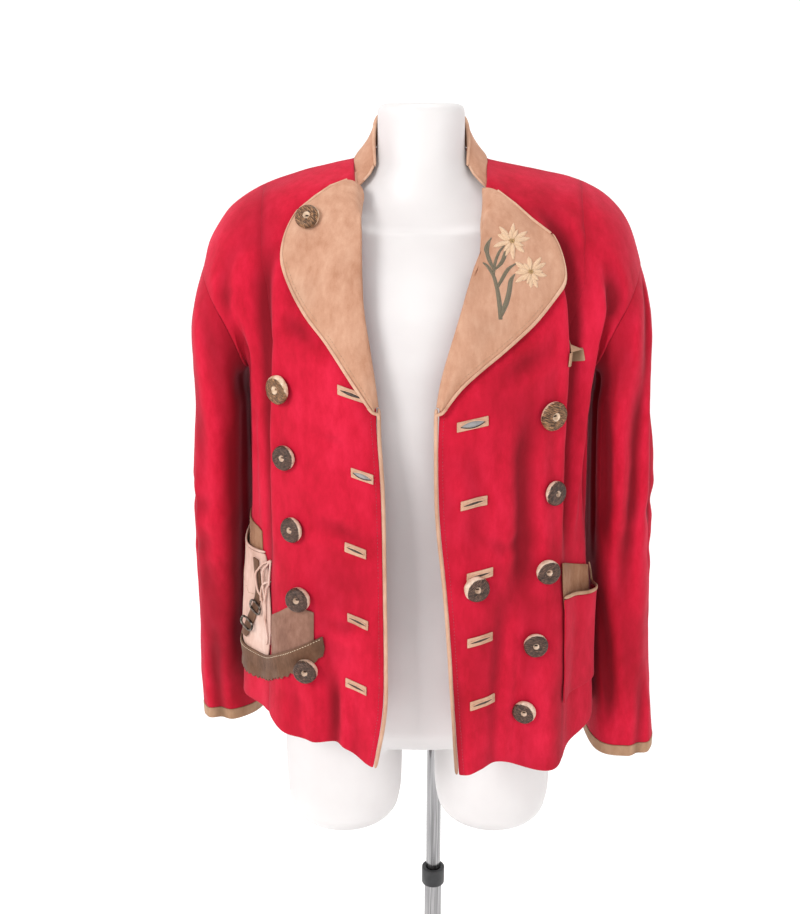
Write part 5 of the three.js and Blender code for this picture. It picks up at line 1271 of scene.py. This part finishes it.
def lengthened(obj, more=0.009):
    """Lets a piece's foot down, so that it reaches under the band."""
    points = points_of(obj)
    _, share = upright(points)
    points[:, 2] -= more * smooth(1 - share, 0.6, 1.0)
    put_points(obj, points)
    return draped(obj)


pocket_right = lengthened(cloth_of("pocket_right_panel", "pocket_right", 3))
sew_on(pocket_right, rose_suede, "tan_suede", "pocket_right")
pocket_right_facing = sewn_piece("pocket_right_facing", "pocket_right_backing", 3, facing_suede,
                                 "pocket_suede")
pocket_right_mouth = sewn_piece("pocket_right_rolled_mouth", "pocket_right_piping", 2, rose_suede,
                                "tan_binding", sharp=ROUND)
flap = lengthened(cloth_of("pocket_right_flap_suede", "pocket_right_flap", 3))
sew_on(flap, pocket_suede, "pocket_suede", "pocket_right_flap")
# the band stands off the pocket along its top, and its foot is pinked and a little frilled
PINKING, FRILL = 0.0075, 0.006
band = cloth_of("pocket_right_pinked_band", "pocket_right_band", 4)
points = points_of(band)
turn, share = upright(points)
along = np.radians(turn) * 0.2
saw = np.abs(((along / PINKING) % 1) * 2 - 1)
points[:, 2] += 0.0045 * smooth(share, 0.55, 1.0) - (0.0005 + 0.0042 * saw) * smooth(1 - share, 0.7, 1.0)
stand_off = 0.0022 * smooth(share, 0.3, 1.0) + 0.0012 * np.sin(along / FRILL) * smooth(1 - share, 0.4, 1.0)
points += outwards(points, shoulder=2) * stand_off[:, None]
put_points(band, points)
band = sew_on(draped(band), brown_suede, "brown_suede", "pocket_right_band")
strap = sewn_piece("pocket_right_strap_suede", "pocket_right_strap", 2, brown_suede, "brown_suede")
buckle_dark, nodes, link, shader = plain("buckle_dark")
wear = cloud_of(nodes, link, 240)
tone = ramp_of(nodes, link, wear, ((0.4, (0.045, 0.036, 0.03)), (0.65, (0.26, 0.22, 0.19))))
link(tone, shader.inputs["Base Color"])
gloss_by(nodes, link, shader, wear, 0.25, 0.5)
set_up(shader, Metallic=1)
for name in ("buckle_upper", "buckle_lower"):
    sewn_piece(name + "_frame", name, 2, buckle_dark, "buckle_metal", sharp=ROUND, swell=0.0007)
pocket_tree = tree_of(pocket_right, pocket_right_facing, strap, flap, band, panel["side_right"],
                      panel["front_right"])


def eased(line, steps=5):
    """More places on a smooth line through a few."""
    found = []
    for k in range(len(line) - 1):
        p = [np.array(line[min(max(j, 0), len(line) - 1)], float) for j in (k - 1, k, k + 1, k + 2)]
        for t in np.linspace(0, 1, steps, endpoint=False):
            square, cube = 2 * p[0] - 5 * p[1] + 4 * p[2] - p[3], 3 * p[1] - p[0] - 3 * p[2] + p[3]
            found.append(0.5 * (2 * p[1] + (p[2] - p[0]) * t + square * t**2 + cube * t**3))
    return found + [np.array(line[-1], float)]


# the loose loops of the lacing: turn round the body in degrees, height and lift in mm
THONGS = (
    ((-63.5, 862, 1.4), (-66, 856, 3), (-68.2, 842, 3.4), (-67.5, 822, 2.4), (-65, 806, 1.6),
     (-64, 797, 1.3)),
    ((-63, 864, 1.4), (-64.8, 850, 4), (-64.2, 830, 3.6), (-62.6, 812, 2.6), (-62.4, 790, 1.8),
     (-63.6, 778, 1.4)),
    ((-62.6, 864, 1.4), (-62.2, 846, 2.6), (-61.8, 826, 3), (-62.8, 806, 3.6), (-62, 786, 3),
     (-60.6, 768, 2), (-61.4, 757, 1.6)),
    ((-62, 838, 1.4), (-64.4, 832, 3.2), (-66, 820, 2.8), (-66.4, 808, 1.6)),
)
laces = [[on_cloth(pocket_tree, *p) for p in eased(line)] for line in THONGS]
sew_on(rod("pocket_right_thongs", laces, 0.0013), rose_suede, "brown_suede")
bm = bmesh.new()
path = [on_cloth(pocket_tree, t, z, 0.3) for t, z in ((-86, 842), (-80, 825), (-74, 808), (-68, 813))]
stitch_row(bm, tree_of(pocket_right), evenly(path, 0.0032), wide=0.0009)
pocket_seam = thread_piece("pocket_right_seam", bm, tan_silk, "brown_suede")
bm = bmesh.new()
points = points_of(band)
turn = turn_of(points)
top = []
for b in range(int(turn.min()) + 2, int(turn.max()) - 1, 2):
    here = points[np.abs(turn - b) < 2]
    if len(here):
        x, y, z = here[np.argmax(here[:, 2])]
        top.append(Vector((x * 1.02, y * 1.02, z - 0.0035)))
stitch_row(bm, tree_of(band), evenly(top, 0.0036), wide=0.0008)
thread_piece("pocket_right_stitches", bm, pale_silk, "brown_suede")

# ---------------------------------------------------------------- dress form
# A hollow white torso without head, arms or legs, with a flat neck and two short thigh ends.
# It is moulded in hard plastic with a half gloss.
form_white, nodes, link, shader = plain("form_white")
cloud = cloud_of(nodes, link, 9, 4)
tone = ramp_of(nodes, link, cloud, ((0.35, (0.665, 0.635, 0.63)), (0.65, (0.71, 0.685, 0.68))))
link(tone, shader.inputs["Base Color"])
relief_by(nodes, link, shader, cloud_of(nodes, link, 260), 0.05, 0.0005)
gloss_by(nodes, link, shader, cloud, 0.34, 0.46)
form = placed("torso_form", solid_of("form"))
remade = form.modifiers.new("even", "REMESH")
remade.mode = "VOXEL"
remade.voxel_size = 0.005
evened = form.modifiers.new("smooth", "SMOOTH")
evened.factor = 0.5
evened.iterations = 12
bake(form)
sew_on(form, form_white, "form_white", "form")

# ---------------------------------------------------------------- stand
# A chromed pole slides in a chromed tube, held by a black ring with a set screw, on a round
# brushed steel plate.
def metal(name, dark, light, low, high, stretch, metallic=1.0):
    """Metal with drawing marks, smudges and small changes of gloss."""
    material, nodes, link, shader = plain(name)
    drawn = set_up(nodes.new("ShaderNodeMapping"), Scale=stretch)
    link(nodes.new("ShaderNodeTexCoord").outputs["Object"], drawn.inputs["Vector"])
    marks = cloud_of(nodes, link, 60, 5, vector=drawn.outputs["Vector"])
    link(ramp_of(nodes, link, marks, ((0.35, dark), (0.65, light))), shader.inputs["Base Color"])
    gloss_by(nodes, link, shader, marks, low, high)
    relief_by(nodes, link, shader, marks, 0.08, 0.0004)
    set_up(shader, Metallic=metallic)
    return material


chrome = metal("chrome", (0.20, 0.195, 0.20), (0.46, 0.455, 0.46), 0.10, 0.24, (9, 9, 0.15))
black_paint = metal("black_paint", (0.012, 0.012, 0.013), (0.03, 0.03, 0.032), 0.35, 0.55, (1, 1, 1),
                    metallic=0.0)
plate_steel = metal("plate_steel", (0.36, 0.36, 0.37), (0.55, 0.55, 0.56), 0.28, 0.42, (0.2, 6, 1))
for node, name, material, slot in (
    ("pole", "chrome_pole", chrome, "chrome"),
    ("stand_tube", "chrome_tube", chrome, "chrome"),
    ("height_ring", "black_height_ring", black_paint, "black_clamp"),
    ("base", "steel_base_plate", plate_steel, "base_metal"),
):
    bm = quads_of(node, flat=8)
    sharp = [e for e in bm.edges if e.calc_face_angle(0) > math.radians(50)]
    bmesh.ops.bevel(bm, geom=sharp, offset=0.0008, segments=2, profile=0.5, material=-1, affect="EDGES")
    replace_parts(thread_piece(name, bm, material, slot), node)


# ---------------------------------------------------------------- studio
# A plain pale floor that curves up into a wall all round, with soft light from above and from
# both sides in front.
# each ring of the wall: how much wider than the last one, and its height
WALL = ((0.8, 0.12), (0.8, 0.42), (0.7, 0.95), (0.5, 1.7), (0.3, 2.6), (0.2, 3.8), (0.1, 5.6))
bm = bmesh.new()
bmesh.ops.create_circle(bm, segments=96, radius=3.4, cap_ends=True)
rim = [e for e in bm.edges if e.is_boundary]
for out, up in WALL:
    made = bmesh.ops.extrude_edge_only(bm, edges=rim)["geom"]
    verts = [v for v in made if isinstance(v, bmesh.types.BMVert)]
    rim = [e for e in made if isinstance(e, bmesh.types.BMEdge)]
    radius = verts[0].co.xy.length
    bmesh.ops.scale(bm, vec=((radius + out) / radius,) * 2 + (1,), verts=verts)
    for v in verts:
        v.co.z = up
bmesh.ops.recalc_face_normals(bm, faces=bm.faces)
floor = placed("studio_floor", bm)
shade_smooth(floor.data)
floor_white, _, _, shader = plain("floor_white")
set_up(shader, Base_Color=(0.84, 0.84, 0.84, 1), Roughness=0.9, Emission_Color=(1, 0.995, 0.99, 1),
       Emission_Strength=0.38)
floor.data.materials.append(floor_white)
floor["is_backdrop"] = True

world = bpy.data.worlds.new("studio_air")
world.use_nodes = True
set_up(world.node_tree.nodes["Background"], Color=(1.0, 0.995, 0.99, 1), Strength=0.5)
scene.world = world
scene.view_settings.view_transform = "Standard"
for name, place, size, power in (
    ("key", (-1.7, -2.1, 2.4), 0.9, 46),
    ("fill", (2.1, -2.3, 1.6), 1.2, 7),
    ("top", (0.1, 0.4, 3.2), 1.3, 19),
):
    lamp = bpy.data.lights.new(name, "AREA")
    lamp.energy = power
    lamp.size = size
    lamp_obj = bpy.data.objects.new(name, lamp)
    lamp_obj.location = place
    lamp_obj.rotation_euler = (Vector((0, 0, 1.0)) - Vector(place)).to_track_quat("-Z", "Y").to_euler()
    scene.collection.objects.link(lamp_obj)

lens = bpy.data.cameras.new("camera")
lens.lens = 46.9
camera = bpy.data.objects.new("camera", lens)
camera.location = (-0.025, -1.45, 1.40)
camera.rotation_euler = (math.radians(73.4), 0, 0)
scene.collection.objects.link(camera)
scene.camera = camera

low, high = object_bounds()
